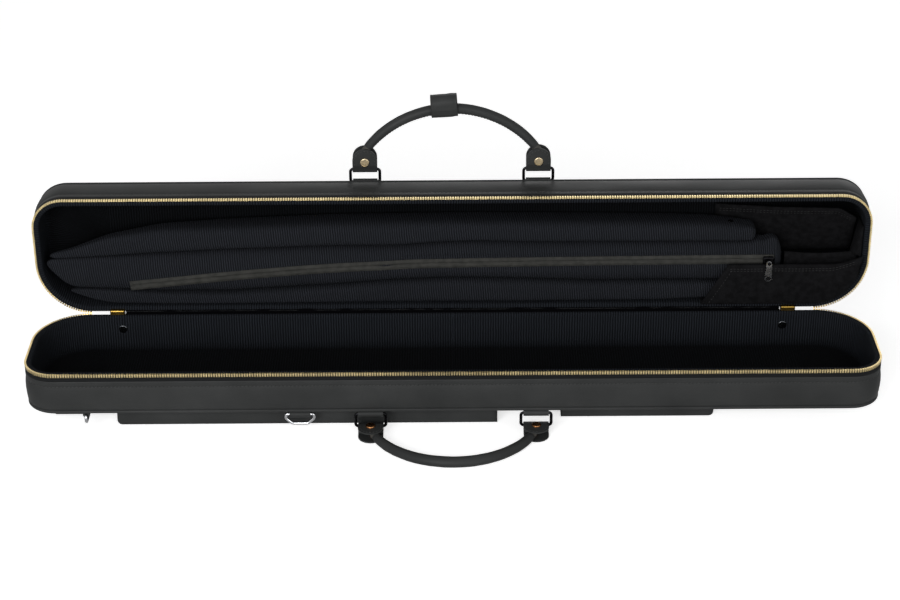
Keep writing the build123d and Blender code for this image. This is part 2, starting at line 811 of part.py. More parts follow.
# Slider of the sleeve's zip, with a stud for its pull
sleeve_slider_x = right_end - sleeve_zip_end_distance - sleeve_slider_inset
sleeve_slider_v = sleeve_zip_end_v
slider_back = sleeve_front - sleeve_zip_gap - sleeve_zip_thickness - fit_gap
slider_front = slider_back - sleeve_slider_thickness
pull_back = -pocket_bulge - sleeve_pull_gap * 3
pull_front = pull_back - sleeve_pull_thickness
with BuildPart() as sleeve_slider:
    with BuildSketch(lid_view(slider_back)):
        with Locations((sleeve_slider_x, sleeve_slider_v)):
            RectangleRounded(sleeve_slider_length, sleeve_slider_width, 2)
    extrude(amount=sleeve_slider_thickness)
    chamfer(faces().sort_by(Axis.Y)[0].edges(), 0.8)
    with BuildSketch(lid_view(slider_front + 0.5)):
        with Locations((sleeve_slider_x, sleeve_slider_v)):
            Circle(sleeve_stud_radius)
    extrude(amount=slider_front + 0.5 - pull_front + sleeve_pull_gap)
    with BuildSketch(lid_view(pull_front - sleeve_pull_gap)):
        with Locations((sleeve_slider_x, sleeve_slider_v)):
            Circle(sleeve_stud_head_radius)
    extrude(amount=sleeve_stud_head)

# Pull tab of the sleeve's zip, widening down to a hole
pull_end_v = sleeve_slider_v - sleeve_pull_length + sleeve_pull_end_width / 2
with BuildPart() as sleeve_pull:
    with BuildSketch(lid_view(pull_back)):
        with Locations((sleeve_slider_x, sleeve_slider_v)):
            Circle(sleeve_pull_width / 2)
        with Locations((sleeve_slider_x, pull_end_v)):
            Circle(sleeve_pull_end_width / 2)
        make_hull()
        with Locations((sleeve_slider_x, pull_end_v)):
            Circle(sleeve_pull_hole, mode=Mode.SUBTRACT)
        with Locations((sleeve_slider_x, sleeve_slider_v)):
            Circle(sleeve_stud_radius + pull_running_gap, mode=Mode.SUBTRACT)
    extrude(amount=sleeve_pull_thickness)


# Cloth pocket at the right end of the lid, made of three sheets and a side
pocket_inset = wall_thickness + pocket_edge_gap
pocket_right = right_end - pocket_inset - pocket_sheet
divider_right = pocket_right - pocket_sheet - fit_gap
front_sheet_outline = [
    (pocket_right - pocket_length, 0),
    (pocket_right - pocket_length + pocket_slant, pocket_top),
    (pocket_right, pocket_top),
    (pocket_right, 0),
]
divider_outline = [
    (divider_right - divider_length, 0),
    (divider_right - divider_length, divider_top),
    (divider_right, divider_top),
    (divider_right, 0),
]
with BuildPart() as end_pocket_front:
    with BuildSketch(lid_rim.offset(-pocket_bulge)):
        half_plan(pocket_inset)
    extrude(amount=pocket_bulge + pocket_skirt_depth)
    with BuildSketch(lid_rim.offset(-pocket_bulge + pocket_sheet)):
        half_plan(pocket_inset + pocket_sheet)
    extrude(amount=pocket_bulge + pocket_skirt_depth, mode=Mode.SUBTRACT)
    with BuildSketch(lid_view(pocket_skirt_depth + 1)):
        Polygon(*front_sheet_outline, align=None)
    extrude(amount=pocket_skirt_depth + pocket_bulge + 2, mode=Mode.INTERSECT)
with BuildPart() as end_pocket_divider:
    with BuildSketch(lid_rim.offset(divider_depth)):
        half_plan(pocket_inset + pocket_sheet + fit_gap)
    extrude(amount=pocket_sheet)
    with BuildSketch(lid_view(divider_depth + 2 * pocket_sheet)):
        Polygon(*divider_outline, align=None)
    extrude(amount=3 * pocket_sheet, mode=Mode.INTERSECT)

back_sheet_sections = []
back_sheet_stations = [
    (right_end - 155, 103, 33.5),
    (right_end - 93, 104, 22),
    (right_end - 32, 107, 12),
    (right_end - 13, 88, 13),
]
for x, top, top_depth in back_sheet_stations:
    with BuildSketch(lid_section(x)) as back_sheet_section:
        Polygon(
            (back_sheet_low, sleeve_back - pocket_sheet),
            (back_sheet_low, sleeve_back),
            (top, top_depth + pocket_sheet),
            (top, top_depth),
            align=None,
        )
    back_sheet_sections.append(back_sheet_section.sketch)
with BuildPart() as end_pocket_back:
    loft(back_sheet_sections, ruled=True)

with BuildPart() as end_pocket_gusset:
    with BuildSketch(lid_view(gusset_front + gusset_depth)):
        with Locations((right_end - pocket_inset - pocket_sheet / 2, (gusset_low + gusset_high) / 2)):
            Rectangle(pocket_sheet, gusset_high - gusset_low)
    extrude(amount=gusset_depth)
    fillet(edges().filter_by(Axis.X), 5)

pieces = {
    "tray_boxing": tray_boxing,
    "tray_face": tray_face,
    "tray_piping": tray_piping,
    "tray_board": tray_board,
    "tray_wall_lining": tray_wall_lining,
    "tray_floor_lining": tray_floor_lining,
    "tray_zip_tape": tray_zip_tape,
    "tray_zip_teeth": tray_zip_teeth,
    "tray_hinge_strip": tray_hinge_strip,
    "lid_boxing": lid_boxing,
    "lid_face": lid_face,
    "lid_piping": lid_piping,
    "lid_board": lid_board,
    "lid_wall_lining": lid_wall_lining,
    "lid_floor_lining": lid_floor_lining,
    "lid_zip_tape": lid_zip_tape,
    "lid_zip_teeth": lid_zip_teeth,
    "lid_hinge_strip": lid_hinge_strip,
    "wall_rivets": wall_rivets,
    "long_pocket": long_pocket,
    "short_pocket": short_pocket,
    "front_chapes": front_chapes,
    "back_chapes": back_chapes,
    "strap_chape": strap_chape,
    "end_tab": end_tab,
    "front_rings": front_rings,
    "back_rings": back_rings,
    "strap_ring": strap_ring,
    "end_ring": end_ring,
    "front_handle_core": front_handle_core,
    "front_handle_grip": front_handle_grip,
    "front_handle_tabs": front_handle_tabs,
    "front_handle_rivets": front_handle_rivets,
    "back_handle_core": back_handle_core,
    "back_handle_grip": back_handle_grip,
    "back_handle_tabs": back_handle_tabs,
    "back_handle_rivets": back_handle_rivets,
    "handle_wrap": handle_wrap,
    "main_sliders": main_sliders,
    "left_main_pull": left_main_pull,
    "right_main_pull": right_main_pull,
    "upper_sleeve": upper_sleeve,
    "middle_sleeve": middle_sleeve,
    "lower_sleeve": lower_sleeve,
    "sleeve_zip": sleeve_zip,
    "sleeve_snap": sleeve_snap,
    "sleeve_slider": sleeve_slider,
    "sleeve_pull": sleeve_pull,
    "end_pocket_front": end_pocket_front,
    "end_pocket_divider": end_pocket_divider,
    "end_pocket_back": end_pocket_back,
    "end_pocket_gusset": end_pocket_gusset,
}
for name, piece in pieces.items():
    piece.part.label = name
    export_step(piece.part, f"parts/{name}.step")
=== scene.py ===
"""Pool cue case, standing open: leather tray in front, lid with its cue sleeves upright behind it."""

from math import atan2, cos, exp, pi, radians, sin, sqrt

import bmesh
import bpy
from mathutils import Matrix, Vector
from mathutils.bvhtree import BVHTree
from mathutils.noise import noise


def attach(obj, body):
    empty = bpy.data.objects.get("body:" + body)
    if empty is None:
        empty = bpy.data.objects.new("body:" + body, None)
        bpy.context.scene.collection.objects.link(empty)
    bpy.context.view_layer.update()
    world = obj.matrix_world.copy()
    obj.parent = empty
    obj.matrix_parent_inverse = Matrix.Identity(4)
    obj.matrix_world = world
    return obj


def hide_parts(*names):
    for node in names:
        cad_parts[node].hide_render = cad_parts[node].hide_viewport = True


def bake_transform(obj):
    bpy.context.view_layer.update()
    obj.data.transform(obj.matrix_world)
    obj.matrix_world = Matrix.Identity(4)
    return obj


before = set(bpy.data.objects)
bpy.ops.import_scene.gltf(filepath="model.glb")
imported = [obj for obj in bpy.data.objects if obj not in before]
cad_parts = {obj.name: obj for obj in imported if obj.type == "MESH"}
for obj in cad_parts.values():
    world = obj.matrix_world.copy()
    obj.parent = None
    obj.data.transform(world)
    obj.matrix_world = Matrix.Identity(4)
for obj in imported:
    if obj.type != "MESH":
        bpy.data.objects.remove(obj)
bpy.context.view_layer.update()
MM = 0.001
# Points nearer than this are one, in metres
MERGE = 0.02 * MM

# Sizes of the case in millimetres, as in the CAD
HALF_LENGTH = 425
HALF_WIDTH = 64
ZIP_CORNER = 32
HINGE_CORNER = 56
RIM_Z = 69.5
LID_Y = 64.3
HINGE_Z = 69.8
FLOOR = 37.9
LINING_INSET = 6.6
SLEEVE_FRONT = 2.0
SLEEVE_BACK = 37.2


def tray_point(a, b, c):
    """Place on the tray from its rim plane: a along the case, b towards the zip and c down."""
    return Vector((a, -b, RIM_Z - c)) * MM


def lid_point(a, b, c):
    """Place on the lid from its rim plane: a along the case, b towards the zip and c back."""
    return Vector((-a, LID_Y + c, HINGE_Z + HALF_WIDTH + b)) * MM


def in_lid(x, v, w):
    """Place inside the lid: x to the right, v up from the hinge and w back from the rim."""
    return Vector((x, LID_Y + w, HINGE_Z + v)) * MM


# Materials


def colour(code):
    """Linear colour of an sRGB hex value."""
    parts = [int(code[i : i + 2], 16) / 255 for i in (0, 2, 4)]
    return [p / 12.92 if p < 0.04045 else ((p + 0.055) / 1.055) ** 2.4 for p in parts] + [1]


def node(tree, kind, inputs=None, **settings):
    """Adds a node with its settings, and sets or links its inputs."""
    new = tree.nodes.new(kind)
    for name, value in settings.items():
        setattr(new, name, value)
    for name, value in (inputs or {}).items():
        if isinstance(value, bpy.types.NodeSocket):
            tree.links.new(value, new.inputs[name])
        else:
            new.inputs[name].default_value = value
    return new


def finish_of(name, **sockets):
    """A new material and its shader, with the shader's plain values."""
    material = bpy.data.materials.new(name)
    material.use_nodes = True
    tree = material.node_tree
    shader = tree.nodes["Principled BSDF"]
    for socket, value in sockets.items():
        shader.inputs[socket.replace("_", " ")].default_value = value
    return material, tree, shader


def smooth_leather():
    # Polyurethane-coated leather, calendered: a fine pebble grain, an even satin coat, faint handling marks
    pebble_size, pore_size, mark_size, grain_depth = 1.1 * MM, 2.4 * MM, 60 * MM, 0.2 * MM
    material, tree, shader = finish_of("coated_leather", Specular_IOR_Level=0.07)
    place = node(tree, "ShaderNodeTexCoord").outputs["Object"]
    pebbles = {"Vector": place, "Scale": 1 / pebble_size}
    grain = node(tree, "ShaderNodeTexVoronoi", pebbles, feature="SMOOTH_F1")
    pores = node(tree, "ShaderNodeTexNoise", {"Vector": place, "Scale": 1 / pore_size, "Detail": 3.0})
    patches = node(tree, "ShaderNodeTexNoise", {"Vector": place, "Scale": 1 / mark_size, "Detail": 4.0})
    tone = node(tree, "ShaderNodeValToRGB", {"Fac": patches.outputs["Fac"]})
    low, high = tone.color_ramp.elements
    low.position, low.color = 0.3, colour("2a2b2b")
    high.position, high.color = 0.75, colour("353636")
    tree.links.new(tone.outputs["Color"], shader.inputs["Base Color"])
    gloss = node(tree, "ShaderNodeMapRange", {"Value": patches.outputs["Fac"], "To Min": 0.5, "To Max": 0.38})
    tree.links.new(gloss.outputs["Result"], shader.inputs["Roughness"])
    bumps = {"Height": grain.outputs["Distance"], "Strength": 0.3, "Distance": grain_depth}
    fine = node(tree, "ShaderNodeBump", bumps)
    bumps = {"Height": pores.outputs["Fac"], "Strength": 0.35, "Distance": grain_depth}
    coarse = node(tree, "ShaderNodeBump", {**bumps, "Normal": fine.outputs["Normal"]})
    tree.links.new(coarse.outputs["Normal"], shader.inputs["Normal"])
    return material


def ribbed_cloth(name, dark, light, pitch, slant, shade_from=1000, shade_tone=1.0):
    # Knitted polyester with a fine rib: matt, tops of the ribs a little paler, the rib fading where it is
    # rubbed, and darker beyond a given distance from its edge, as painted shade deep inside the tray and the
    # lid
    rub_size, yarn_size, fading = 35 * MM, 1.2 * MM, 10 * MM
    # Bands of a wave texture are this many metres apart at a scale of 1
    band = 0.314
    material, tree, shader = finish_of(name, Roughness=0.95, Specular_IOR_Level=0.06)
    place = node(tree, "ShaderNodeTexCoord").outputs["UV"]
    turned = node(tree, "ShaderNodeMapping", {"Vector": place, "Rotation": (0, 0, radians(slant))})
    rubbed = node(tree, "ShaderNodeTexNoise", {"Vector": place, "Scale": 1 / rub_size, "Detail": 3.0})
    ribs = node(
        tree,
        "ShaderNodeTexWave",
        {"Vector": turned.outputs["Vector"], "Scale": band / (pitch * MM), "Distortion": 1.6, "Detail": 2.0},
        bands_direction="X",
    )
    yarn = node(tree, "ShaderNodeTexNoise", {"Vector": place, "Scale": 1 / yarn_size, "Detail": 2.0})
    shown = node(
        tree,
        "ShaderNodeMapRange",
        {"Value": rubbed.outputs["Fac"], "From Min": 0.3, "From Max": 0.7, "To Min": 0.55, "To Max": 1.0},
    )
    height = node(
        tree,
        "ShaderNodeMix",
        {0: shown.outputs["Result"], 2: yarn.outputs["Fac"], 3: ribs.outputs["Fac"]},
        data_type="FLOAT",
    )
    mixed = {0: 0.25, 2: height.outputs[0], 3: rubbed.outputs["Fac"]}
    shade = node(tree, "ShaderNodeMix", mixed, data_type="FLOAT")
    tone = node(tree, "ShaderNodeValToRGB", {"Fac": shade.outputs[0]})
    low, high = tone.color_ramp.elements
    low.position, low.color = 0.2, colour(dark)
    high.position, high.color = 0.8, colour(light)
    # Painted shade: past the given distance from the edge the colour is scaled down
    depth = node(tree, "ShaderNodeSeparateXYZ", {"Vector": place}).outputs["Y"]
    start = shade_from * MM
    painted_shade = node(
        tree,
        "ShaderNodeMapRange",
        {"Value": depth, "From Min": start, "From Max": start + fading, "To Min": 1.0, "To Max": shade_tone},
    )
    shaded_tone = {0: tone.outputs["Color"], "Scale": painted_shade.outputs["Result"]}
    lit = node(tree, "ShaderNodeVectorMath", shaded_tone, operation="SCALE")
    tree.links.new(lit.outputs[0], shader.inputs["Base Color"])
    bump = node(tree, "ShaderNodeBump", {"Height": height.outputs[0], "Strength": 1.0, "Distance": 0.7 * MM})
    tree.links.new(bump.outputs["Normal"], shader.inputs["Normal"])
    return material


def plain_finish(name, base, metal, rough, bump_size, bump_depth, mottle=1.3, **sockets):
    """A finish with one colour, broken up in its gloss and its surface at real sizes in millimetres."""
    wear_size = 6 * MM
    material, tree, shader = finish_of(name, Metallic=metal, **sockets)
    place = node(tree, "ShaderNodeTexCoord").outputs["Object"]
    marks = node(tree, "ShaderNodeTexNoise", {"Vector": place, "Scale": 1 / (bump_size * MM), "Detail": 3.0})
    wear = node(tree, "ShaderNodeTexNoise", {"Vector": place, "Scale": 1 / wear_size, "Detail": 3.0})
    low, high = colour(base), [min(1, part * mottle) for part in colour(base)[:3]] + [1]
    worn = {"Value": wear.outputs["Fac"], "From Min": 0.35, "From Max": 0.65}
    spread = node(tree, "ShaderNodeMapRange", worn)
    tone = node(tree, "ShaderNodeMix", {0: spread.outputs["Result"], 6: low, 7: high}, data_type="RGBA")
    tree.links.new(tone.outputs[2], shader.inputs["Base Color"])
    gloss = node(
        tree,
        "ShaderNodeMapRange",
        {"Value": wear.outputs["Fac"], "To Min": rough * 0.8, "To Max": min(1, rough * 1.25)},
    )
    tree.links.new(gloss.outputs["Result"], shader.inputs["Roughness"])
    bump = node(
        tree, "ShaderNodeBump", {"Height": marks.outputs["Fac"], "Strength": 0.4, "Distance": bump_depth * MM}
    )
    tree.links.new(bump.outputs["Normal"], shader.inputs["Normal"])
    return material


LEATHER = smooth_leather()
# The lining is painted darker from about 35 mm below its rim, as shade on the floor of each half
LINING = ribbed_cloth("ribbed_lining", "08090b", "212429", 2.62, 0, shade_from=35, shade_tone=0.22)
SLEEVE = ribbed_cloth("ribbed_sleeve_cloth", "0e0f11", "26282d", 2.4, 5)
# The same cloth where it is pushed into the fold of the hinge, painted near black: painted shade, as no light
# reaches it
SHADED_FOLD = plain_finish("lining_painted_fold_shade", "030304", 0, 0.97, 1.2, 0.3, Specular_IOR_Level=0.02)
# Needled polyester felt: no rib, a short even nap
FELT = plain_finish("needled_felt", "0a0a0b", 0, 0.97, 1.8, 0.9, mottle=2.2, Specular_IOR_Level=0.05)
# Woven polyester tape: matt black, fine threads across
TAPE = plain_finish("woven_zip_tape", "0e0f10", 0, 0.85, 0.6, 0.2, Specular_IOR_Level=0.15)
# Woven polyester tape of the sleeve's coil zip: rubbed grey-black
COIL_TAPE = plain_finish(
    "woven_coil_zip_tape", "282826", 0, 0.85, 0.8, 0.4, mottle=1.7, Specular_IOR_Level=0.15
)
# Cast and gilded zinc teeth: pale yellow metal, slightly worn
GOLD = plain_finish("gilded_zinc", "dcc896", 1, 0.36, 0.8, 0.03)
# Darker, thicker gilding on the cast sliders
DEEP_GOLD = plain_finish("gilded_slider_zinc", "8a7034", 1, 0.3, 0.8, 0.03)
# Champagne-plated steel rivets, spun smooth
CHAMPAGNE = plain_finish("champagne_plated_steel", "a89a80", 1, 0.24, 1.2, 0.02)
# Copper-plated steel rivets, spun smooth
COPPER = plain_finish("copper_plated_steel", "8e6340", 1, 0.26, 1.2, 0.02)
# Black electroplated steel rings: dark mirror with soft glints
BLACK_METAL = plain_finish("black_nickel_steel", "1b1b1d", 1, 0.26, 1.5, 0.02)
# Gunmetal-plated rivets, mottled a little where they are rubbed
GUNMETAL = plain_finish("gunmetal_plated_steel", "46484b", 1, 0.2, 1.5, 0.02)
# Chromed steel, drawn and polished
CHROME = plain_finish("chromed_steel", "b9babd", 1, 0.18, 1.5, 0.01)
# Grey millboard, pressed: matt, faintly fibrous
BOARD = plain_finish("pressed_millboard", "2a2926", 0, 0.9, 1.2, 0.2)
# Cotton cord core
CORE = plain_finish("cotton_core", "3a3834", 0, 0.95, 1, 0.3)
# Bonded nylon sewing thread, black: slight lustre on each stitch
THREAD = plain_finish("bonded_nylon_thread", "161717", 0, 0.5, 0.5, 0.05)
# Spun polyester sewing thread, black: matt, a row of dark dashes in the felt
SEAM = plain_finish("spun_polyester_thread", "0c0c0d", 0, 0.8, 0.5, 0.05)

# Mesh making


def new_piece(name, mesh, material, smooth=True):
    piece = bpy.data.objects.new(name, mesh)
    bpy.context.scene.collection.objects.link(piece)
    mesh.materials.clear()
    mesh.materials.append(material)
    mesh.polygons.foreach_set("use_smooth", [smooth] * len(mesh.polygons))
    return piece


def skin(name, rows, material, round_rows=False, round_columns=False, outward=None):
    """Mesh through rows of points in metres, with a UV map in metres along and across the rows."""
    rows_in, columns = len(rows), len(rows[0])
    across = [0.0]
    for i in range(1, rows_in + 1):
        middle = columns // 2
        across.append(across[-1] + (rows[i % rows_in][middle] - rows[i - 1][middle]).length)
    longest = max(rows, key=lambda row: sum((row[j + 1] - row[j]).length for j in range(0, columns - 1, 8)))
    along = [0.0]
    for j in range(1, columns + 1):
        along.append(along[-1] + (longest[j % columns] - longest[j - 1]).length)
    points = [point for row in rows for point in row]
    faces, corners = [], []
    for i in range(rows_in if round_rows else rows_in - 1):
        for j in range(columns if round_columns else columns - 1):
            ring = [(i, j), (i, j + 1), (i + 1, j + 1), (i + 1, j)]
            faces.append([(r % rows_in) * columns + (k % columns) for r, k in ring])
            corners += [(along[k], across[r]) for r, k in ring]
    mesh = bpy.data.meshes.new(name)
    mesh.from_pydata(points, [], faces)
    layer = mesh.uv_layers.new(name="UVMap")
    layer.data.foreach_set("uv", [value for corner in corners for value in corner])
    work = bmesh.new()
    work.from_mesh(mesh)
    bmesh.ops.remove_doubles(work, verts=work.verts, dist=MERGE)
    bmesh.ops.dissolve_degenerate(work, edges=work.edges, dist=MERGE * 0.1)
    if outward is None:
        bmesh.ops.recalc_face_normals(work, faces=work.faces)
    elif outward:
        bmesh.ops.reverse_faces(work, faces=work.faces)
    work.to_mesh(mesh)
    work.free()
    return new_piece(name, mesh, material)


def close_ends(rows):
    """Draws the rows of a tube together at the middle of each of its ends."""
    first, last = [sum((row[side] for row in rows), Vector()) / len(rows) for side in (0, -1)]
    for row in rows:
        row.insert(0, first.copy())
        row.append(last.copy())


def thicken(piece, thickness, offset=-1):
    solid = piece.modifiers.new("thickness", "SOLIDIFY")
    solid.thickness = thickness * MM
    solid.offset = offset


def settle(piece):
    """Applies a piece's modifiers."""
    depsgraph = bpy.context.evaluated_depsgraph_get()
    mesh = bpy.data.meshes.new_from_object(piece.evaluated_get(depsgraph))
    piece.modifiers.clear()
    piece.data = mesh
    return piece


def rim_course(step=4):
    """Points round the rim from the middle of the hinge, each a place (a, b) and its outward direction."""
    course = []
    # Marks stay this clear of the ends of a straight stretch
    clear = 0.3

    def straight(start, end, direction):
        along = 0 if start[0] != end[0] else 1
        low, high = sorted((start[along], end[along]))
        marks = [k * step for k in range(int(low // step) - 1, int(high // step) + 2)]
        marks = [mark for mark in marks if low + clear < mark < high - clear]
        if start[along] > end[along]:
            marks.reverse()
        for mark in [start[along]] + marks:
            course.append(((mark, start[1]) if along == 0 else (start[0], mark), direction))

    def corner(centre, radius, start):
        turns = max(6, round(radius * pi / 2 / step))
        for k in range(turns):
            angle = radians(start + 90 * k / turns)
            direction = (cos(angle), sin(angle))
            course.append(((centre[0] + radius * direction[0], centre[1] + radius * direction[1]), direction))

    hinge_x, zip_x = HALF_LENGTH - HINGE_CORNER, HALF_LENGTH - ZIP_CORNER
    hinge_b, zip_b = HINGE_CORNER - HALF_WIDTH, HALF_WIDTH - ZIP_CORNER
    straight((0, -HALF_WIDTH), (hinge_x, -HALF_WIDTH), (0, -1))
    corner((hinge_x, hinge_b), HINGE_CORNER, -90)
    straight((HALF_LENGTH, hinge_b), (HALF_LENGTH, zip_b), (1, 0))
    corner((zip_x, zip_b), ZIP_CORNER, 0)
    straight((zip_x, HALF_WIDTH), (-zip_x, HALF_WIDTH), (0, 1))
    corner((-zip_x, zip_b), ZIP_CORNER, 90)
    straight((-HALF_LENGTH, zip_b), (-HALF_LENGTH, hinge_b), (-1, 0))
    corner((-hinge_x, hinge_b), HINGE_CORNER, 180)
    straight((-hinge_x, -HALF_WIDTH), (0, -HALF_WIDTH), (0, -1))
    return course


FINE_COURSE = rim_course(2)
COURSE = rim_course(4)


def ripple(size, *place):
    """Smooth wave between about -1 and 1 whose swells are size millimetres apart."""
    return noise(Vector(place) / size) * 1.6


# Row of items along a seam, for the stitches and the zip's teeth


def row_tree():
    """Items of one size, set a pitch apart along a path, turned to its direction and to its outward side."""
    tree = bpy.data.node_groups.new("row along a seam", "GeometryNodeTree")
    face = tree.interface
    face.new_socket("Geometry", in_out="INPUT", socket_type="NodeSocketGeometry")
    for name, kind in (
        ("Pitch", "NodeSocketFloat"),
        ("Item size", "NodeSocketVector"),
        ("Taper", "NodeSocketFloat"),
        ("Slant", "NodeSocketFloat"),
        ("Toothed", "NodeSocketBool"),
        ("Finish", "NodeSocketMaterial"),
    ):
        face.new_socket(name, in_out="INPUT", socket_type=kind)
    face.new_socket("Geometry", in_out="OUTPUT", socket_type="NodeSocketGeometry")
    given = node(tree, "NodeGroupInput").outputs
    path = node(tree, "GeometryNodeMeshToCurve", {"Mesh": given["Geometry"]})
    points = node(
        tree, "GeometryNodeResampleCurve", {"Curve": path.outputs[0], "Length": given["Pitch"]}, mode="LENGTH"
    )
    tangent = node(tree, "GeometryNodeInputTangent")
    outward = node(tree, "GeometryNodeInputNamedAttribute", {"Name": "outward"}, data_type="FLOAT_VECTOR")
    along = node(tree, "FunctionNodeAlignRotationToVector", {"Vector": tangent.outputs[0]}, axis="X")
    upright = node(
        tree,
        "FunctionNodeAlignRotationToVector",
        {"Rotation": along.outputs[0], "Vector": outward.outputs["Attribute"]},
        axis="Z",
        pivot_axis="X",
    )
    slant = node(tree, "ShaderNodeCombineXYZ", {"Z": given["Slant"]})
    turned = node(
        tree,
        "FunctionNodeRotateRotation",
        {"Rotation": upright.outputs[0], "Rotate By": slant.outputs[0]},
        rotation_space="LOCAL",
    )
    block = node(
        tree,
        "GeometryNodeMeshCube",
        {"Size": (1.0, 1.0, 1.0), "Vertices X": 2, "Vertices Y": 4, "Vertices Z": 2},
    )
    place = node(tree, "GeometryNodeInputPosition")
    parts = node(tree, "ShaderNodeSeparateXYZ", {"Vector": place.outputs[0]})
    narrowing = node(
        tree, "ShaderNodeMath", {0: parts.outputs["Y"], 1: given["Taper"], 2: 1.0}, operation="MULTIPLY_ADD"
    )
    narrowed = node(
        tree, "ShaderNodeVectorMath", {0: place.outputs[0], "Scale": narrowing.outputs[0]}, operation="SCALE"
    )
    kept = node(tree, "ShaderNodeSeparateXYZ", {"Vector": narrowed.outputs[0]})
    wedge = node(
        tree,
        "ShaderNodeCombineXYZ",
        {"X": kept.outputs["X"], "Y": parts.outputs["Y"], "Z": kept.outputs["Z"]},
    )
    shaped = {"Geometry": block.outputs["Mesh"], "Position": wedge.outputs[0]}
    tooth = node(tree, "GeometryNodeSetPosition", shaped)
    bead = node(tree, "GeometryNodeMeshUVSphere", {"Segments": 8, "Rings": 5, "Radius": 0.5})
    bead = node(tree, "GeometryNodeSetShadeSmooth", {"Geometry": bead.outputs["Mesh"], "Shade Smooth": True})
    item = node(
        tree,
        "GeometryNodeSwitch",
        {"Switch": given["Toothed"], "False": bead.outputs[0], "True": tooth.outputs[0]},
        input_type="GEOMETRY",
    )
    sized = node(tree, "GeometryNodeTransform", {"Geometry": item.outputs[0], "Scale": given["Item size"]})
    row = node(
        tree,
        "GeometryNodeInstanceOnPoints",
        {"Points": points.outputs[0], "Instance": sized.outputs[0], "Rotation": turned.outputs[0]},
    )
    real = node(tree, "GeometryNodeRealizeInstances", {"Geometry": row.outputs[0]})
    finish = {"Geometry": real.outputs[0], "Material": given["Finish"]}
    dressed = node(tree, "GeometryNodeSetMaterial", finish)
    node(tree, "NodeGroupOutput", {"Geometry": dressed.outputs[0]})
    return tree


ROW_TREE = row_tree()


def row_along(name, paths, pitch, size, material, taper=0.0, slant=0.0, toothed=False):
    """Row of stitches or teeth, sized in millimetres, along paths of (point in metres, outward direction)."""
    points, outward, edges = [], [], []
    for path, closed in paths:
        first = len(points)
        points += [point for point, _ in path]
        outward += [direction for _, direction in path]
        edges += [(first + k, first + k + 1) for k in range(len(path) - 1)]
        if closed:
            edges.append((first + len(path) - 1, first))
    mesh = bpy.data.meshes.new(name)
    mesh.from_pydata(points, edges, [])
    layer = mesh.attributes.new("outward", "FLOAT_VECTOR", "POINT")
    layer.data.foreach_set("vector", [value for direction in outward for value in direction])
    piece = new_piece(name, mesh, material)
    row = piece.modifiers.new("row", "NODES")
    row.node_group = ROW_TREE
    values = {
        "Pitch": pitch * MM,
        "Item size": [value * MM for value in size],
        "Taper": taper,
        "Slant": radians(slant),
        "Toothed": toothed,
        "Finish": material,
    }
    for socket in ROW_TREE.interface.items_tree:
        if socket.in_out == "INPUT" and socket.name in values:
            row[socket.identifier] = values[socket.name]
    return settle(piece)


def rim_path(place, inset, c, first=None):
    """Path round a half at an inset and depth, without the hinge's stretch nearer its middle than first."""
    path = []
    for (a, b), (na, nb) in COURSE:
        if first is not None and b < -HALF_WIDTH + 0.01 and abs(a) < first:
            continue
        point = place(a - na * inset, b - nb * inset, c)
        path.append((point, place(a, b, c) - place(a - na, b - nb, c)))
    return [(point, direction.normalized()) for point, direction in path]


def turn_start(path):
    """Opens a closed path at its longest step, so that it starts and ends beside the hinge."""
    steps = [(path[k][0] - path[k - 1][0]).length for k in range(len(path))]
    start = steps.index(max(steps))
    return path[start:] + path[:start]


# Shell of each half

# Each point: inset from the wall's outside and depth below the rim
WALL_PROFILE = [
    (0.6, 7.8), (0.1, 8.2), (0.0, 9.2), (0.0, 11), (0.1, 13), (0.45, 14.1), (0.1, 15.2), (-0.3, 17.5),
    (-0.65, 21), (-0.8, 26), (-0.65, 31), (-0.3, 36), (0.15, 39), (0.7, 40.7), (1.3, 41.1), (1.55, 40.6),
    (1.55, 24), (1.5, 8.4), (1.2, 7.8),
]
WALL_MIDDLE = 27
# Insets below this are on the wall's outside
WALL_OUTSIDE = 1.2
TEETH_PITCH = 2.5
STITCH_PITCH = 3.8
# Distances from the middle of the hinge at which the rows of teeth start and are past the end of the fold
TEETH_START = 353.5
TEETH_TURNED = 372


def crease(a, c):
    """Fold that slants down the tray's front wall, as a low ridge beside a narrower valley."""
    if not -110 < a < -30:
        return 0
    across = a + 70 - (c - WALL_MIDDLE) * 0.58
    ridge, valley = 0.6 * exp(-((across / 5) ** 2)), 0.9 * exp(-(((across + 5) / 3) ** 2))
    return max(0, 1 - abs(c - WALL_MIDDLE) / 16) * (ridge - valley)


def wall_leather(half, place, creased):
    rows = []
    for inset, c in WALL_PROFILE:
        row = []
        slack = max(0, 1 - abs(c - WALL_MIDDLE) / 14) if inset < WALL_OUTSIDE else 0
        for (a, b), (na, nb) in FINE_COURSE:
            swell = slack * (0.35 * ripple(70, a, b, c * 1.5) + 0.12 * ripple(19, a, b, c))
            if creased and b > HALF_WIDTH - 1 and inset < WALL_OUTSIDE:
                swell += crease(a, c)
            out = swell - inset
            row.append(place(a + na * out, b + nb * out, c))
        rows.append(row)
    piece = skin(half + "_wall_leather", rows, LEATHER, round_rows=True, round_columns=True)
    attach(piece, half)
    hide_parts(half + "_boxing")


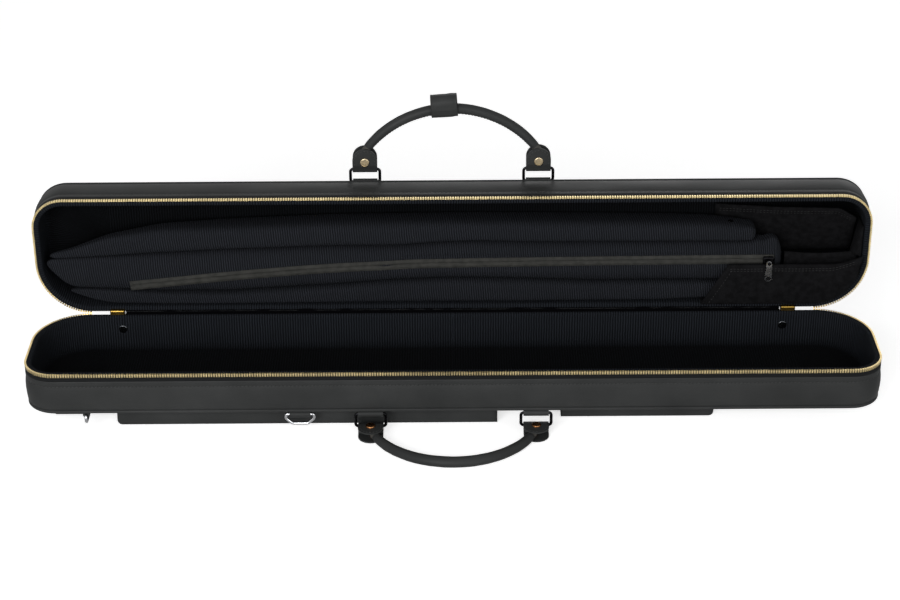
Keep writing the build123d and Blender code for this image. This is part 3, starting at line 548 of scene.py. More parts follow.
def lining(half, place):
    profile = [(1.9, 1.8), (2.0, 1.0), (2.7, 0.5), (4.0, 0.4), (5.5, 0.5), (6.35, 1.1), (LINING_INSET, 2.4)]
    profile += [(LINING_INSET, c) for c in (5, 9, 13, 17, 21, 25, 29, 32)]
    fillet = 5.0
    for k in range(5):
        turn = k / 4 * pi / 2
        profile.append((LINING_INSET + fillet * (1 - cos(turn)), FLOOR - fillet + fillet * sin(turn)))
    rows = []
    for inset, c in profile:
        row = []
        for (a, b), (na, nb) in COURSE:
            slack = min(1, max(0, (c - 3) / 10))
            out = -inset - slack * (0.45 + 0.55 * ripple(46, a, b, c) + 0.25 * ripple(17, a, b, c))
            row.append(place(a + na * out, b + nb * out, c))
        rows.append(row)
    # The floor's rows close on a line along its middle
    last, line_end, floor_rows = profile[-1][0], 352, 8
    for k in range(1, floor_rows + 1):
        part = k / floor_rows
        row = []
        for (a, b), (na, nb) in COURSE:
            a0, b0 = a - na * last, b - nb * last
            a1 = min(max(a, -line_end), line_end)
            a2, b2 = a0 + (a1 - a0) * part, b0 * (1 - part)
            out = 0.45 + 0.5 * ripple(60, a2, b2, 3) + 0.2 * ripple(22, a2, b2, 3)
            row.append(place(a2, b2, FLOOR - out * min(1, part * 4)))
        rows.append(row)
    piece = skin(half + "_lining", rows, LINING, round_columns=True, outward=False)
    thicken(piece, 0.4)
    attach(piece, half)
    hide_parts(half + "_wall_lining", half + "_floor_lining")


def zip_teeth(half, place):
    path = turn_start(rim_path(place, 0.75, 1.8, first=TEETH_START))
    far = next(k for k, (point, _) in enumerate(path) if abs(point.x) > TEETH_TURNED * MM)
    row, size = [(path[far:-far], False)], (1.45, 3.5, 1.6)
    piece = row_along(half + "_gold_teeth", row, TEETH_PITCH, size, GOLD, taper=-0.5, toothed=True)
    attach(piece, half)
    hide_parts(half + "_zip_teeth")
    # Beside the hinge the rows lie almost on the fold, so their teeth are shorter and stay clear as it opens
    low = turn_start(rim_path(place, 1.6, 2.6, first=TEETH_START))
    ends, size = [(low[: far + 1], False), (low[-far - 1 :], False)], (1.45, 1.6, 1.2)
    piece = row_along(half + "_gold_end_teeth", ends, TEETH_PITCH, size, GOLD, toothed=True)
    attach(piece, half)


def wall_stitches(half, place):
    rows = [(rim_path(place, 0.2, 14.1), True)]
    piece = row_along(half + "_wall_stitches", rows, STITCH_PITCH, (2.8, 0.75, 0.7), THREAD, slant=6)
    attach(piece, half)


# Each half is also the name of its body
for half, place in (("tray", tray_point), ("lid", lid_point)):
    wall_leather(half, place, creased=half == "tray")
    lining(half, place)
    zip_teeth(half, place)
    wall_stitches(half, place)


def hinge_lining():
    """Strip of lining over the fold, glued to both halves, so that no light comes through the hinge."""
    section = [(60.7, 69.42), (62.4, 69.5), (63.5, 69.75), (64.15, 70.3), (64.45, 71.4), (64.5, 73.3)]
    length, columns = 673, 135
    rows = []
    for y, z in section:
        row = []
        for j in range(columns + 1):
            x = -length / 2 + length * j / columns
            sag = 0.12 * ripple(23, x, y * 4, z)
            row.append(Vector((x, y - 0.05 - abs(sag), z + 0.05 + abs(sag))) * MM)
        rows.append(row)
    # Its near-black colour is painted shade in the fold
    piece = skin("hinge_lining", rows, SHADED_FOLD, outward=False)
    thicken(piece, 0.25)
    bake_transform(piece)


hinge_lining()

# Pouches under the tray

# Each point: height above the surface it stands on and inset from the pouch's outside
POUCH_PROFILE = [
    (24.8, 0.3), (23.5, 0), (21, 0), (18, 0), (15, 0), (12, 0), (9, 0), (6, 0), (4, 0.1), (2.2, 0.6),
    (1.0, 1.5), (0.25, 3),
]


def pouch_course(mouth, end, front, back, side):
    """Course round a pouch from its mouth along the front, round its end and back along the far side."""
    radius, steps, turns, end_steps = 6, 60, 6, 12
    bend = end + side * radius
    course = [((mouth + (bend - mouth) * k / steps, front), (0, -1)) for k in range(steps)]
    for k in range(turns + 1):
        turn = radians(90 * k / turns)
        place = (bend - side * radius * sin(turn), front + radius - radius * cos(turn))
        course.append((place, (-side * sin(turn), -cos(turn))))
    for k in range(1, end_steps):
        course.append(((end, front + radius + (back - front - 2 * radius) * k / end_steps), (-side, 0)))
    for k in range(turns + 1):
        turn = radians(90 * k / turns)
        place = (bend - side * radius * cos(turn), back - radius + radius * sin(turn))
        course.append((place, (-side * cos(turn), sin(turn))))
    course += [((bend + (mouth - bend) * k / steps, back), (0, 1)) for k in range(1, steps + 1)]
    return course


def pouch(name, left, right, front_inset, open_right):
    """Flat pouch with a soft front and bottom, and its mouth at one end."""
    front, back = -HALF_WIDTH + front_inset, HALF_WIDTH - 1.5
    mouth, end = (right, left) if open_right else (left, right)
    course = pouch_course(mouth, end, front, back, 1 if open_right else -1)
    middle_z, seam_z = 13, 21.5
    rows = []
    for z, inset in POUCH_PROFILE:
        row = []
        slack = max(0, 1 - abs(z - middle_z) / 11)
        for (x, y), (nx, ny) in course:
            out = slack * (0.5 * ripple(55, x, y, z) + 0.2 * ripple(18, x, y, z) - 0.2) - inset
            row.append(Vector((x + nx * out, y + ny * out, z)) * MM)
        rows.append(row)
    # The bottom's rows close on a line along its middle
    last, line_inset = POUCH_PROFILE[-1][1], 45
    for part in (0.15, 0.35, 0.6, 0.8, 1.0):
        row = []
        for (x, y), (nx, ny) in course:
            x0, y0 = x - nx * last, y - ny * last
            x1 = max(x, end + line_inset) if open_right else min(x, end - line_inset)
            x2, y2 = x0 + (x1 - x0) * part, y0 + ((front + back) / 2 - y0) * part
            row.append(Vector((x2, y2, 0.35 + 0.25 * ripple(40, x2, y2, 1))) * MM)
        rows.append(row)
    piece = skin(name + "_leather", rows, LEATHER, outward=not open_right)
    thicken(piece, 1.6)
    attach(piece, "tray")
    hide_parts(name)
    seam = []
    for (x, y), (nx, ny) in course:
        seam.append((Vector((x + nx * 0.1, y + ny * 0.1, seam_z)) * MM, Vector((nx, ny, 0))))
    stitches = row_along(name + "_stitches", [(seam, False)], STITCH_PITCH, (2.8, 0.7, 0.6), THREAD)
    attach(stitches, "tray")


pouch("long_pocket", -337, 44, front_inset=18, open_right=True)
pouch("short_pocket", 108, 262, front_inset=28, open_right=False)

# Cue sleeves

# Each station: place along the case, low edge, high edge and back
UPPER_SLEEVE = [
    (-410, 61.5, 66.5, 6), (-388, 61.8, 71.5, 9), (-350, 62.8, 84, 18), (-297, 65.2, 92, 28),
    (-230, 68.5, 93.5, 35), (-124, 71.5, 97, SLEEVE_BACK), (-55, 71.7, 97.6, SLEEVE_BACK),
    (-10, 75.2, 97.8, SLEEVE_BACK), (28, 76.5, 97.6, SLEEVE_BACK), (70, 74.7, 97.4, SLEEVE_BACK),
    (210, 74.6, 95.5, SLEEVE_BACK), (262, 74.5, 95, 33), (309, 74.5, 92, 25),
]
MIDDLE_SLEEVE = [
    (-414, 54, 59.9, 6), (-404, 40.5, 60.4, 8), (-396, 31, 60.6, 9.5), (-388, 28, 61, 11),
    (-350, 25.5, 62, 18), (-297, 21.6, 64.4, 28), (-230, 20.3, 67.7, 35), (-124, 26.4, 70.7, SLEEVE_BACK),
    (-55, 31.9, 70.9, SLEEVE_BACK), (-10, 33.5, 74.4, SLEEVE_BACK), (28, 33.3, 75.7, SLEEVE_BACK),
    (70, 32.3, 73.9, SLEEVE_BACK), (150, 29.1, 73.8, SLEEVE_BACK), (210, 29.6, 73.8, SLEEVE_BACK),
    (262, 30.1, 73.7, 33), (309.5, 31, 73.7, 26), (314, 31.5, 78.5, 25), (328, 33, 79.5, 22),
    (336, 38, 76, 19),
]
LOWER_SLEEVE = [
    (-392, 24, 26.5, 7), (-378, 17.5, 26.2, 10), (-366, 13, 25.6, 13), (-350, 8.8, 24.5, 18),
    (-297, 7.4, 20.8, 28), (-230, 7.2, 19.5, 35), (-124, 7.2, 25.6, SLEEVE_BACK),
    (-55, 7.2, 31.1, SLEEVE_BACK), (-10, 7.2, 32.7, SLEEVE_BACK), (28, 7.2, 32.5, SLEEVE_BACK),
    (70, 7.2, 31.5, SLEEVE_BACK), (150, 7.2, 28.3, SLEEVE_BACK), (210, 7.4, 28.8, 36), (252, 10, 29.2, 32),
    (285, 12, 28, 22),
]


def between(stations, x, ease=0):
    """Values at x between the stations on either side, averaged over a stretch of 2 x ease."""
    if ease:
        near = [between(stations, x + ease * k / 2) for k in (-2, -1, 0, 1, 2)]
        return [sum(values) / 5 for values in zip(*near)]
    x = min(max(x, stations[0][0]), stations[-1][0])
    for (x0, *low), (x1, *high) in zip(stations, stations[1:]):
        if x <= x1:
            part = (x - x0) / (x1 - x0)
            return [p + (q - p) * part for p, q in zip(low, high)]


def puff(piece, stations, cap):
    """Blows the sleeve up as cloth, holding it within cap millimetres and clear of its neighbours."""
    frames = 20
    # How far the cloth may pass its neighbours' edges and the front plane, and its hindmost place
    past_edge, past_front, hindmost = 0.5, 1.5, 37.4
    mesh = piece.data
    start = [vertex.co.copy() for vertex in mesh.vertices]
    held = piece.vertex_groups.new(name="held")
    for vertex in mesh.vertices:
        low, high, back = between(stations, vertex.co.x / MM)
        depth = (vertex.co.y / MM - LID_Y) / back
        held.add([vertex.index], min(1, max(0, (depth - 0.55) / 0.3)), "REPLACE")
    cloth = piece.modifiers.new("cloth", "CLOTH")
    cloth.settings.quality = 5
    cloth.settings.mass = 0.25
    cloth.settings.tension_stiffness = 12
    cloth.settings.compression_stiffness = 12
    cloth.settings.bending_stiffness = 8
    cloth.settings.shrink_min = 0.0
    cloth.settings.use_pressure = True
    cloth.settings.uniform_pressure_force = 4
    cloth.settings.vertex_group_mass = "held"
    cloth.settings.effector_weights.gravity = 0
    cloth.collision_settings.use_collision = False
    scene = bpy.context.scene
    for number in range(1, frames + 1):
        scene.frame_set(number)
    blown = piece.evaluated_get(bpy.context.evaluated_depsgraph_get()).data
    places = [vertex.co.copy() for vertex in blown.vertices]
    piece.modifiers.remove(cloth)
    scene.frame_set(1)
    for vertex, first, place in zip(mesh.vertices, start, places):
        move = place - first
        if move.length > cap * MM:
            move *= cap * MM / move.length
        place = first + move
        low, high, back = between(stations, place.x / MM, 6)
        place.z = min(max(place.z, (HINGE_Z + low - past_edge) * MM), (HINGE_Z + high + past_edge) * MM)
        place.y = min(max(place.y, (LID_Y - past_front) * MM), (LID_Y + hindmost) * MM)
        vertex.co = place
    piece.vertex_groups.clear()


def squared(value, square):
    """Draws a round section out towards a square one, the more so the smaller the exponent."""
    return (abs(value) ** square) * (1 if value > 0 else -1)


def sleeve(name, stations, seed, square, fold_at=None):
    """Stuffed sleeve: a closed tube of cloth through its stations, blown up a little and settled as cloth."""
    first, last = stations[0][0], stations[-1][0]
    around, spacing, rounding, gathered = 48, 4.5, 6, 45
    columns = int((last - first) / spacing)
    rows = []
    for k in range(around):
        turn = 2 * pi * k / around
        across, deep = squared(cos(turn), square), squared(sin(turn), square)
        row = []
        for j in range(columns + 1):
            x = first + (last - first) * j / columns
            low, high, back = between(stations, x, 7)
            end = min(1, (x - first + 0.6) / rounding, (last - x + 0.6) / rounding)
            pinch = sqrt(max(0, 1 - (1 - end) ** 2))
            size = pinch
            if fold_at is not None:
                # A tuck round the sleeve, shallower at the back of its top, and gathers towards its end
                gather = max(0, 1 - abs(x - last) / gathered)
                size -= 0.2 * exp(-(((x - fold_at) / 2.8) ** 2)) * (1 if k % 24 < 18 else 0.6)
                size += 0.018 * gather * sin(5 * turn + seed + x / 9)
            v = (low + high) / 2 + (high - low) / 2 * across * size
            reach = (back - SLEEVE_FRONT) / 2 * deep * (0.45 + 0.55 * pinch) * (size / max(pinch, 0.01))
            fold = 0.7 * ripple(70, x * 0.55, v * 2, seed)
            fold += 0.3 * ripple(16, x * 0.4 + v * 0.8, v * 1.5, seed) * abs(deep)
            row.append(in_lid(x, v, (SLEEVE_FRONT + back) / 2 - reach - fold * deep))
        rows.append(row)
    close_ends(rows)
    piece = skin(name + "_cloth", rows, SLEEVE, round_rows=True)
    puff(piece, stations, cap=1.6)
    fine = piece.modifiers.new("fine", "SUBSURF")
    fine.levels = fine.render_levels = 1
    settle(piece)
    if stations is MIDDLE_SLEEVE:
        # Sewn flat along the straight part of the zip, where its slider runs
        track_v, half_track, track_left = 56, 7, -50
        for vertex in piece.data.vertices:
            x, v = vertex.co.x / MM, vertex.co.z / MM - HINGE_Z
            front = 2.3 - 0.12 * max(0, track_left - x) - 0.5 * max(0, abs(v - track_v) - half_track)
            vertex.co.y = max(vertex.co.y, (LID_Y + front) * MM)
    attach(piece, "lid")
    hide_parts(name)
    return piece


sleeve("upper_sleeve", UPPER_SLEEVE, seed=1, square=0.5, fold_at=298)
middle = sleeve("middle_sleeve", MIDDLE_SLEEVE, seed=2, square=0.5, fold_at=318)
sleeve("lower_sleeve", LOWER_SLEEVE, seed=3, square=0.45)

# Zip across the middle sleeve

# Each point: place along the case and height above the hinge
ZIP_COURSE = [(-330, 31), (-265, 38), (-200, 44), (-130, 49.5), (-60, 53), (60, 54.5), (200, 55.6), (328, 56)]
# Each point: place across the tape from the middle of its coil, and rise from the sleeve
HALF_TAPE = [(0.7, 0.4), (1.5, 1.4), (2.7, 1.5), (3.6, 0.9), (5.0, 0.8), (5.2, 0.0)]


def smooth_course(stations, step):
    """Points on a smooth curve through the stations."""
    curve = bpy.data.curves.new("course", "CURVE")
    curve.dimensions = "3D"
    line = curve.splines.new("NURBS")
    line.points.add(len(stations) - 1)
    for point, station in zip(line.points, stations):
        point.co = (*station, 0, 1)
    line.order_u = 3
    line.use_endpoint_u = True
    line.resolution_u = step
    guide = bpy.data.objects.new("course", curve)
    mesh = bpy.data.meshes.new_from_object(guide)
    points = [vertex.co.copy() for vertex in mesh.vertices]
    bpy.data.objects.remove(guide)
    return points


def front_of(piece):
    """Finds the front surface of a sleeve inside the lid."""
    mesh = piece.data
    tree = BVHTree.FromPolygons([v.co for v in mesh.vertices], [p.vertices for p in mesh.polygons])

    def surface(x, v):
        hit = tree.ray_cast(in_lid(x, v, -40), Vector((0, 1, 0)))
        return (hit[0].y / MM - LID_Y) if hit[0] else SLEEVE_FRONT

    return surface


def sleeve_zip():
    """Flat tape over the coil zip, with a raised line along either side of the coil."""
    surface = front_of(middle)
    course = smooth_course(ZIP_COURSE, 14)
    profile = [(-side, rise) for side, rise in reversed(HALF_TAPE)] + [(0, 0.1)] + HALF_TAPE
    depths = [min(surface(point.x, point.y + 3), surface(point.x, point.y)) for point in course]
    rows = []
    for side, rise in profile:
        row = []
        for k, point in enumerate(course):
            ahead = course[min(k + 1, len(course) - 1)] - course[max(k - 1, 0)]
            ahead.normalize()
            x, v = point.x - ahead.y * side, point.y + ahead.x * side
            near = depths[max(0, k - 2) : k + 3]
            row.append(in_lid(x, v, sum(near) / len(near) - rise + 0.15 * ripple(21, x, v, 8)))
        rows.append(row)
    piece = skin("sleeve_zip_tape", rows, COIL_TAPE, outward=False)
    thicken(piece, 0.6)
    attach(piece, "lid")
    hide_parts("sleeve_zip")


sleeve_zip()

# Cloth pocket at the right end of the lid


def end_sheet(name, node_name, rows, outward=False):
    """One sheet of the pocket, sewn along its edges to the lid's lining."""
    piece = skin(name, rows, FELT, outward=outward)
    thicken(piece, 1.4, offset=0)
    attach(piece, "lid")
    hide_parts(node_name)
    return piece


def sheet_stitches(name, piece, lines):
    """Stitches on the front of a sheet, along lines of (x, v)."""
    surface, front, pitch = front_of(piece), Vector((0, -1, 0)), 3.4
    paths = [([(in_lid(x, v, surface(x, v) - 0.6), front) for x, v in line], False) for line in lines]
    stitches = row_along(name, paths, pitch, (2.5, 0.6, 0.6), SEAM)
    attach(stitches, "lid")


def corner_course(inset, left, top, count):
    """Course along the bottom of the lid's right end and up round its corner to the height top."""
    radius, turns = HINGE_CORNER - inset, 16
    centre_x, centre_v = HALF_LENGTH - HINGE_CORNER, HINGE_CORNER
    points = [(left + (centre_x - left) * k / count, inset, 0, -1) for k in range(count)]
    for k in range(turns + 1):
        turn = radians(90 * k / turns)
        points.append((centre_x + radius * sin(turn), centre_v - radius * cos(turn), sin(turn), -cos(turn)))
    return [p for p in points if p[1] <= top]


def front_rise(part):
    """Rise of the front panel's top edge at a part of its width: level, then up over the last fifth."""
    return 8.5 * max(0, part * 5 - 4) ** 1.5


def pocket_front():
    course = corner_course(8.0, 255, 46, 26)
    count = len(course)
    top_left, top_width, front, hem = 280, 137.4, -6.0, 2.4
    parts = [k / (count - 1) for k in range(count)]
    tops = [(top_left + top_width * part, 52.4 + front_rise(part)) for part in parts]
    rows = []
    for w, out in ((20, 0), (14, 0), (8, 0), (3, 0), (-1, 0), (-3.6, -0.2), (-5.2, -0.9)):
        rows.append([in_lid(x + nx * out, v + nv * out, w) for x, v, nx, nv in course])
    for k in range(13):
        part = k / 12
        row = []
        for j, ((x, v, nx, nv), (tx, tv)) in enumerate(zip(course, tops)):
            x0, v0 = x - nx * hem, v - nv * hem
            px, pv = x0 + (tx - x0) * part, v0 + (tv - v0) * part
            bulge = 1.6 * sin(pi * min(1, part * 1.05)) * (0.6 + 0.4 * sin(pi * j / count))
            row.append(in_lid(px, pv, front - bulge + 0.35 * ripple(26, px, pv, 5)))
        rows.append(row)
    for drop, w in ((-0.5, -4.9), (0.6, -3.9), (8, -3.8)):
        rows.append([in_lid(x, v - drop, w) for x, v in tops])
    piece = end_sheet("pocket_front_sheet", "end_pocket_front", rows)
    seam = [(284 + 124 * k / 60, 46.9 + 0.8 * front_rise(k / 60)) for k in range(61)]
    side = [(284 - 20.5 * k / 20, 46.5 - 35 * k / 20) for k in range(21)]
    sheet_stitches("pocket_front_stitches", piece, [seam, [(x, v + 2.2) for x, v in seam], side])


def pocket_divider():
    left, width, bottom, top, depth = 339.5, 73.8, 12, 61, 8.6
    corner_x, radius = HALF_LENGTH - HINGE_CORNER, 45.2
    rows = []
    for k in range(11):
        row = []
        for j in range(20):
            x = left + width * j / 19
            low = bottom
            if x > corner_x:
                reach = min(x - corner_x, radius - 0.9)
                low = max(low, HINGE_CORNER - sqrt(max(0, radius**2 - reach**2)) + 1)
            v = low + (top - 2.2 * sin(pi * j / 19) - low) * k / 10
            row.append(in_lid(x, v, depth + 0.8 * ripple(24, x, v, 7)))
        rows.append(row)
    rows.append([p + Vector((0, 1.2, 0.1)) * MM for p in rows[-1]])
    end_sheet("pocket_divider_sheet", "end_pocket_divider", rows)


def pocket_back():
    # Each station: place along the case, height of the top edge and its depth
    stations = [(270, 103, 33.5), (332, 104, 22), (393, 107, 12), (411, 96, 13)]
    left, right, foot, foot_depth = stations[0][0], stations[-1][0], 50, 36
    rows = []
    for k in range(15):
        part = k / 14
        row = []
        for j in range(30):
            x = left + (right - left) * j / 29
            top, depth = between(stations, x)
            v = foot + (top - foot) * part
            sag = sin(pi * part) * (1.5 + 0.6 * ripple(30, x, v, 9))
            row.append(in_lid(x, v, foot_depth + (depth + 0.8 - foot_depth) * part + sag))
        rows.append(row)
    rows.append([p + Vector((0, 1.2, 0.3)) * MM for p in rows[-1]])
    piece = end_sheet("pocket_back_sheet", "end_pocket_back", rows)
    edge = [(275 + 130 * k / 60, between(stations, 275 + 130 * k / 60)[0]) for k in range(61)]
    band = [[(x, top - drop) for x, top in edge] for drop in (4.0, 6.5)]
    sheet_stitches("pocket_back_stitches", piece, band)


def pocket_gusset():
    front, depth, bottom, height, right, slack = 2.2, 25.6, 59, 32.5, 416.7, 9.5
    rows = []
    for k in range(12):
        part = k / 11
        row = []
        for j in range(10):
            fold = slack * sin(pi * (j / 9) ** 0.7) ** 0.8 * (1 - part) ** 0.7
            row.append(in_lid(right - fold, bottom + height * part, front + depth * j / 9))
        rows.append(row)
    end_sheet("pocket_gusset_sheet", "end_pocket_gusset", rows, outward=True)


pocket_front()
pocket_divider()
pocket_back()
pocket_gusset()

# Handles

# Where the handles lie: the front one's rings and height, the back one's plane and rings
FRONT_RINGS_Y = -60.5
FRONT_HANDLE_Z = 7.0
BACK_HANDLE_Y = 112.5
BACK_RINGS_Z = 208.6
# Middle of the round end of a tab above the rings, and the seam and half thickness of the tab
TAB_CENTRE = 11.5
TAB_SEAM_RADIUS = 10.3
TAB_SEAM_START = 7
HALF_TAB_THICKNESS = 5.7


def front_handle_point(x, y, out=0.0):
    """Place on the front handle: x along the case, y away from its rings and out towards its underside."""
    return Vector((x, FRONT_RINGS_Y - y, FRONT_HANDLE_Z - out)) * MM


def back_handle_point(x, y, out=0.0):
    """Place on the back handle: x along the case, y away from its rings and out towards the front."""
    return Vector((x, BACK_HANDLE_Y - out, BACK_RINGS_Z + y)) * MM


def tab_seam(tab_x):
    """Course of the stitches up one side of a tab, round its end and down the other side."""
    radius, turns, sides = TAB_SEAM_RADIUS, 16, 4
    climb = TAB_CENTRE - TAB_SEAM_START
    course = [(tab_x - radius, TAB_SEAM_START + climb * k / sides) for k in range(sides)]
    for k in range(turns + 1):
        turn = pi - pi * k / turns
        course.append((tab_x + radius * cos(turn), TAB_CENTRE + radius * sin(turn)))
    course += [(tab_x + radius, TAB_CENTRE - climb * k / sides) for k in range(1, sides + 1)]
    return course


def handle(side, place, spacing, radius, half_span, start, thick):
    """Leather grip with a ridge outside and a sewn seam inside, and the stitches round both tabs."""
    body = side + "_handle"
    centre = start - sqrt(radius**2 - half_span**2)
    end_angle = atan2(start - centre, half_span)
    # The grip ends where it is this far from the middle of a tab's round end
    grip_end = 10.5
    while True:
        x, y = radius * cos(end_angle), centre + radius * sin(end_angle)
        if sqrt((x - spacing / 2) ** 2 + (y - TAB_CENTRE) ** 2) >= grip_end:
            break
        end_angle += radians(0.25)
    stations, around, slimming, seam_inset = 90, 28, 0.8, 5

    def along(j):
        """Angle of a station round the handle's arc, and the grip's size there, slimmer towards its ends."""
        angle = pi - end_angle - (pi - 2 * end_angle) * j / stations
        part = abs(j / stations - 0.5) * 2
        return angle, thick - slimming * part**2

    rows = []
    for k in range(around):
        turn = 2 * pi * k / around
        ridge = 0.5 * exp(-((sin(turn / 2) / 0.12) ** 2)) + 0.45 * exp(-((cos(turn / 2) / 0.13) ** 2))
        row = []
        for j in range(stations + 1):
            angle, size = along(j)
            size += ridge + 0.12 * ripple(14, j * 3, k, 4)
            size -= 0.9 * exp(-min(j, stations - j) / 1.5)
            reach = radius + size * cos(turn)
            row.append(place(reach * cos(angle), centre + reach * sin(angle), size * sin(turn)))
        rows.append(row)
    close_ends(rows)
    grip = skin(side + "_grip_leather", rows, LEATHER, round_rows=True)
    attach(grip, body)
    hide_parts(side + "_handle_grip")
    seams = []
    for out in (-1, 1):
        path = []
        for j in range(seam_inset, stations - seam_inset + 1):
            angle, size = along(j)
            size += 0.15
            reach = radius - size * 0.93
            here = place(reach * cos(angle), centre + reach * sin(angle), out * size * 0.36)
            core = place(radius * cos(angle), centre + radius * sin(angle), 0)
            path.append((here, (here - core).normalized()))
        seams.append((path, False))
    for tab_x in (-spacing / 2, spacing / 2):
        for face in (-1, 1):
            out = (place(0, 0, face) - place(0, 0, 0)).normalized()
            path = [(place(x, y, face * HALF_TAB_THICKNESS), out) for x, y in tab_seam(tab_x)]
            seams.append((path, False))
    pitch = 3.2
    stitches = row_along(side + "_handle_stitches", seams, pitch, (2.4, 0.75, 0.6), THREAD)
    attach(stitches, body)


handle("front", front_handle_point, spacing=164, radius=85.3, half_span=76.4, start=21, thick=5.55)
handle("back", back_handle_point, spacing=177, radius=107, half_span=88, start=20.1, thick=5.1)


def wrap():
    """Leather band on the back handle, with the edge of its flap across the front."""
    outer, inner, rise, turns, sides = 8.5, 6.8, 6.9, 16, 6
    middle, tilt = Vector((-6.998, BACK_HANDLE_Y, 274.603)), 0.065403
    along, up = Vector((0.997859, 0, tilt)), Vector((-tilt, 0, 0.997859))
    half_turns = [pi * k / turns for k in range(turns + 1)]
    course = [(cos(turn), -sin(turn), 0) for turn in half_turns]
    course += [(-1, 0, rise * k / sides) for k in range(1, sides)]
    course += [(-cos(turn), sin(turn), rise) for turn in half_turns]
    course += [(1, 0, rise * (1 - k / sides)) for k in range(1, sides)]
    # Each point: place along the wrap and size, from the rolled edge past a groove to its middle
    edge = [(-13.2, inner + 0.2), (-13.4, inner + 0.8), (-13.4, outer - 0.5), (-13.0, outer)]
    edge += [(-11.6, outer), (-11.1, outer - 0.25), (-10.6, outer)]
    profile = edge + [(x, outer + 0.15) for x in (-7, -2.5, 2.5, 7)] + [(-x, r) for x, r in reversed(edge)]
    rows = []
    for x, size in profile:
        row = []
        for ny, nz, lift in course:
            swell = size + (0.3 * ripple(8, x, ny * 8, nz * 8 + lift) if size > 8.2 else 0)
            if size > 8 and ny < -0.2:
                # The flap comes down over the front and ends a little above the lower round's middle
                height, flap_end, flap = lift + nz * outer, 1.2, 0.9
                swell += flap if height > flap_end else flap * exp(-((height - flap_end) ** 2) / 0.3)
            place = middle + along * x + up * (lift + nz * swell)
            place.y += ny * swell
            row.append(place * MM)
        rows.append(row)
    band = skin("wrap_leather", rows, LEATHER, round_rows=True, round_columns=True)
    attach(band, "wrap")
    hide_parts("handle_wrap")


wrap()

# Finishes of the CAD nodes that stay

FINISHES = {
    LEATHER: "tray_face lid_face tray_piping lid_piping tray_hinge_strip lid_hinge_strip "
    "front_chapes back_chapes strap_chape end_tab front_handle_tabs back_handle_tabs",
    TAPE: "tray_zip_tape lid_zip_tape",
    DEEP_GOLD: "main_sliders left_main_pull right_main_pull",
    CHAMPAGNE: "back_handle_rivets",
    COPPER: "front_handle_rivets",
    BLACK_METAL: "front_rings back_rings sleeve_slider",
    GUNMETAL: "wall_rivets",
    CHROME: "strap_ring end_ring sleeve_pull sleeve_snap",
    BOARD: "tray_board lid_board",
    CORE: "front_handle_core back_handle_core",
}
# Points of a node nearer than this are one, and edges that turn more than this many degrees stay sharp
WELD = 0.005
SHARP = 32
for finish, names in FINISHES.items():
    for name in names.split():
        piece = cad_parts[name]
        for slot in piece.material_slots:
            slot.material = finish
        weld = piece.modifiers.new("weld", "WELD")
        weld.merge_threshold = WELD * MM
        split = piece.modifiers.new("edges", "EDGE_SPLIT")
        split.split_angle = radians(SHARP)

# Studio

# Sizes and places in the studio are in metres, powers in watts and strengths as Blender has them
FLOOR_BOX = {"left": -6, "right": 6, "near": -4, "far": 9, "height": -0.0003}
FLOOR_GLOW = 0.66
WORLD_LIGHT = 0.2
WORLD_SEEN = 1.0
# Each lamp: name, place, target, size and power
LAMPS = (
    ("key", (-0.8, -2.3, 1.0), (0, 0, 0.1), 1.3, 50),
    ("fill", (1.2, -2.2, 0.9), (0, 0, 0.1), 1.5, 17),
    ("top", (0, -0.9, 2.5), (0, 0, 0.05), 1.6, 2),
    ("back", (0.7, 2.6, 0.7), (0, 0, 0.1), 1.6, 8),
)
# Camera fitted to the photograph: its place and target, its roll in degrees and its lens in millimetres
CAMERA_PLACE = Vector((-0.0026, -1.8986, 1.1174))
CAMERA_TARGET = Vector((-0.0026, -0.004, 0.1181))
CAMERA_ROLL = -0.38
CAMERA_LENS = 86.28


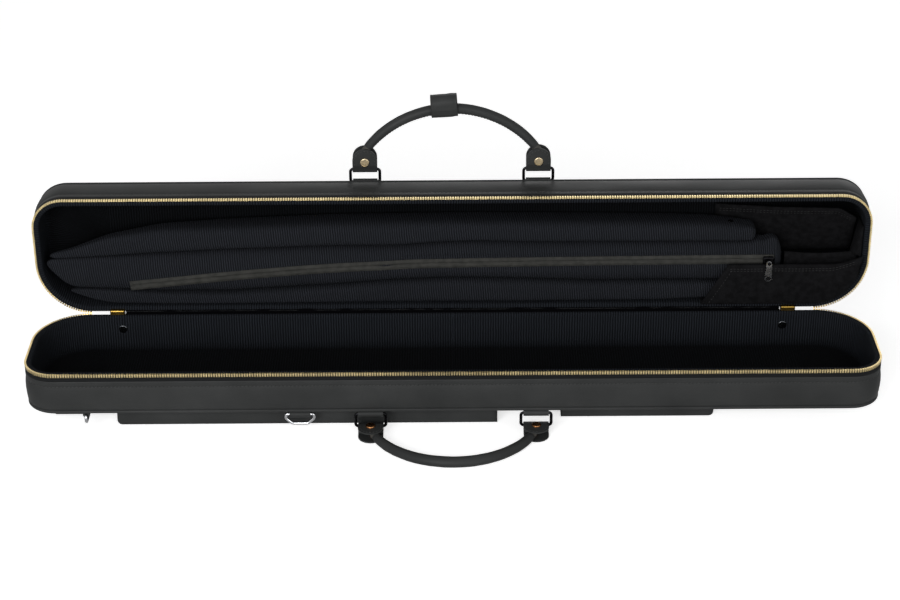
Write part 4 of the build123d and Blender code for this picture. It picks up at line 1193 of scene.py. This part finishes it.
def paper_floor():
    """Pale paper under the case, which the camera sees a little brighter than it is lit."""
    left, right, near, far, height = FLOOR_BOX.values()
    mesh = bpy.data.meshes.new("floor")
    corners = [(left, near, height), (right, near, height), (right, far, height), (left, far, height)]
    mesh.from_pydata(corners, [], [(0, 1, 2, 3)])
    paper, tree, shader = finish_of("pale_paper", Roughness=0.9, Specular_IOR_Level=0.1)
    shader.inputs["Base Color"].default_value = colour("f4f4f4")
    rays = node(tree, "ShaderNodeLightPath").outputs
    seen = node(tree, "ShaderNodeMath", {0: rays["Is Camera Ray"], 1: FLOOR_GLOW}, operation="MULTIPLY")
    tree.links.new(seen.outputs[0], shader.inputs["Emission Strength"])
    shader.inputs["Emission Color"].default_value = colour("ffffff")
    floor = new_piece("floor", mesh, paper, smooth=False)


def white_world(scene):
    """World that the camera, glass and metal see as white, and that lights the case only a little."""
    world = bpy.data.worlds.new("studio")
    scene.world = world
    world.use_nodes = True
    tree = world.node_tree
    background = tree.nodes["Background"]
    background.inputs["Color"].default_value = colour("ffffff")
    rays = node(tree, "ShaderNodeLightPath").outputs
    seen = rays["Is Camera Ray"]
    for kind in ("Is Transmission Ray", "Is Glossy Ray"):
        seen = node(tree, "ShaderNodeMath", {0: seen, 1: rays[kind]}, operation="MAXIMUM").outputs[0]
    strength = node(tree, "ShaderNodeMapRange", {"Value": seen, "To Min": WORLD_LIGHT, "To Max": WORLD_SEEN})
    tree.links.new(strength.outputs["Result"], background.inputs["Strength"])


def studio():
    scene = bpy.context.scene
    scene.view_settings.view_transform = "Standard"
    paper_floor()
    white_world(scene)
    for name, place, target, size, power in LAMPS:
        data = bpy.data.lights.new(name, "AREA")
        data.size = size
        data.energy = power
        lamp = bpy.data.objects.new(name, data)
        lamp.location = place
        lamp.rotation_euler = (Vector(target) - Vector(place)).to_track_quat("-Z", "Y").to_euler()
        scene.collection.objects.link(lamp)
    data = bpy.data.cameras.new("camera")
    data.lens = CAMERA_LENS
    data.sensor_width = 36
    data.clip_end = 50
    camera = bpy.data.objects.new("camera", data)
    aim = (CAMERA_TARGET - CAMERA_PLACE).to_track_quat("-Z", "Y").to_matrix().to_4x4()
    roll = Matrix.Rotation(radians(CAMERA_ROLL), 4, "Z")
    camera.matrix_world = Matrix.Translation(CAMERA_PLACE) @ aim @ roll
    scene.collection.objects.link(camera)
    scene.camera = camera


studio()
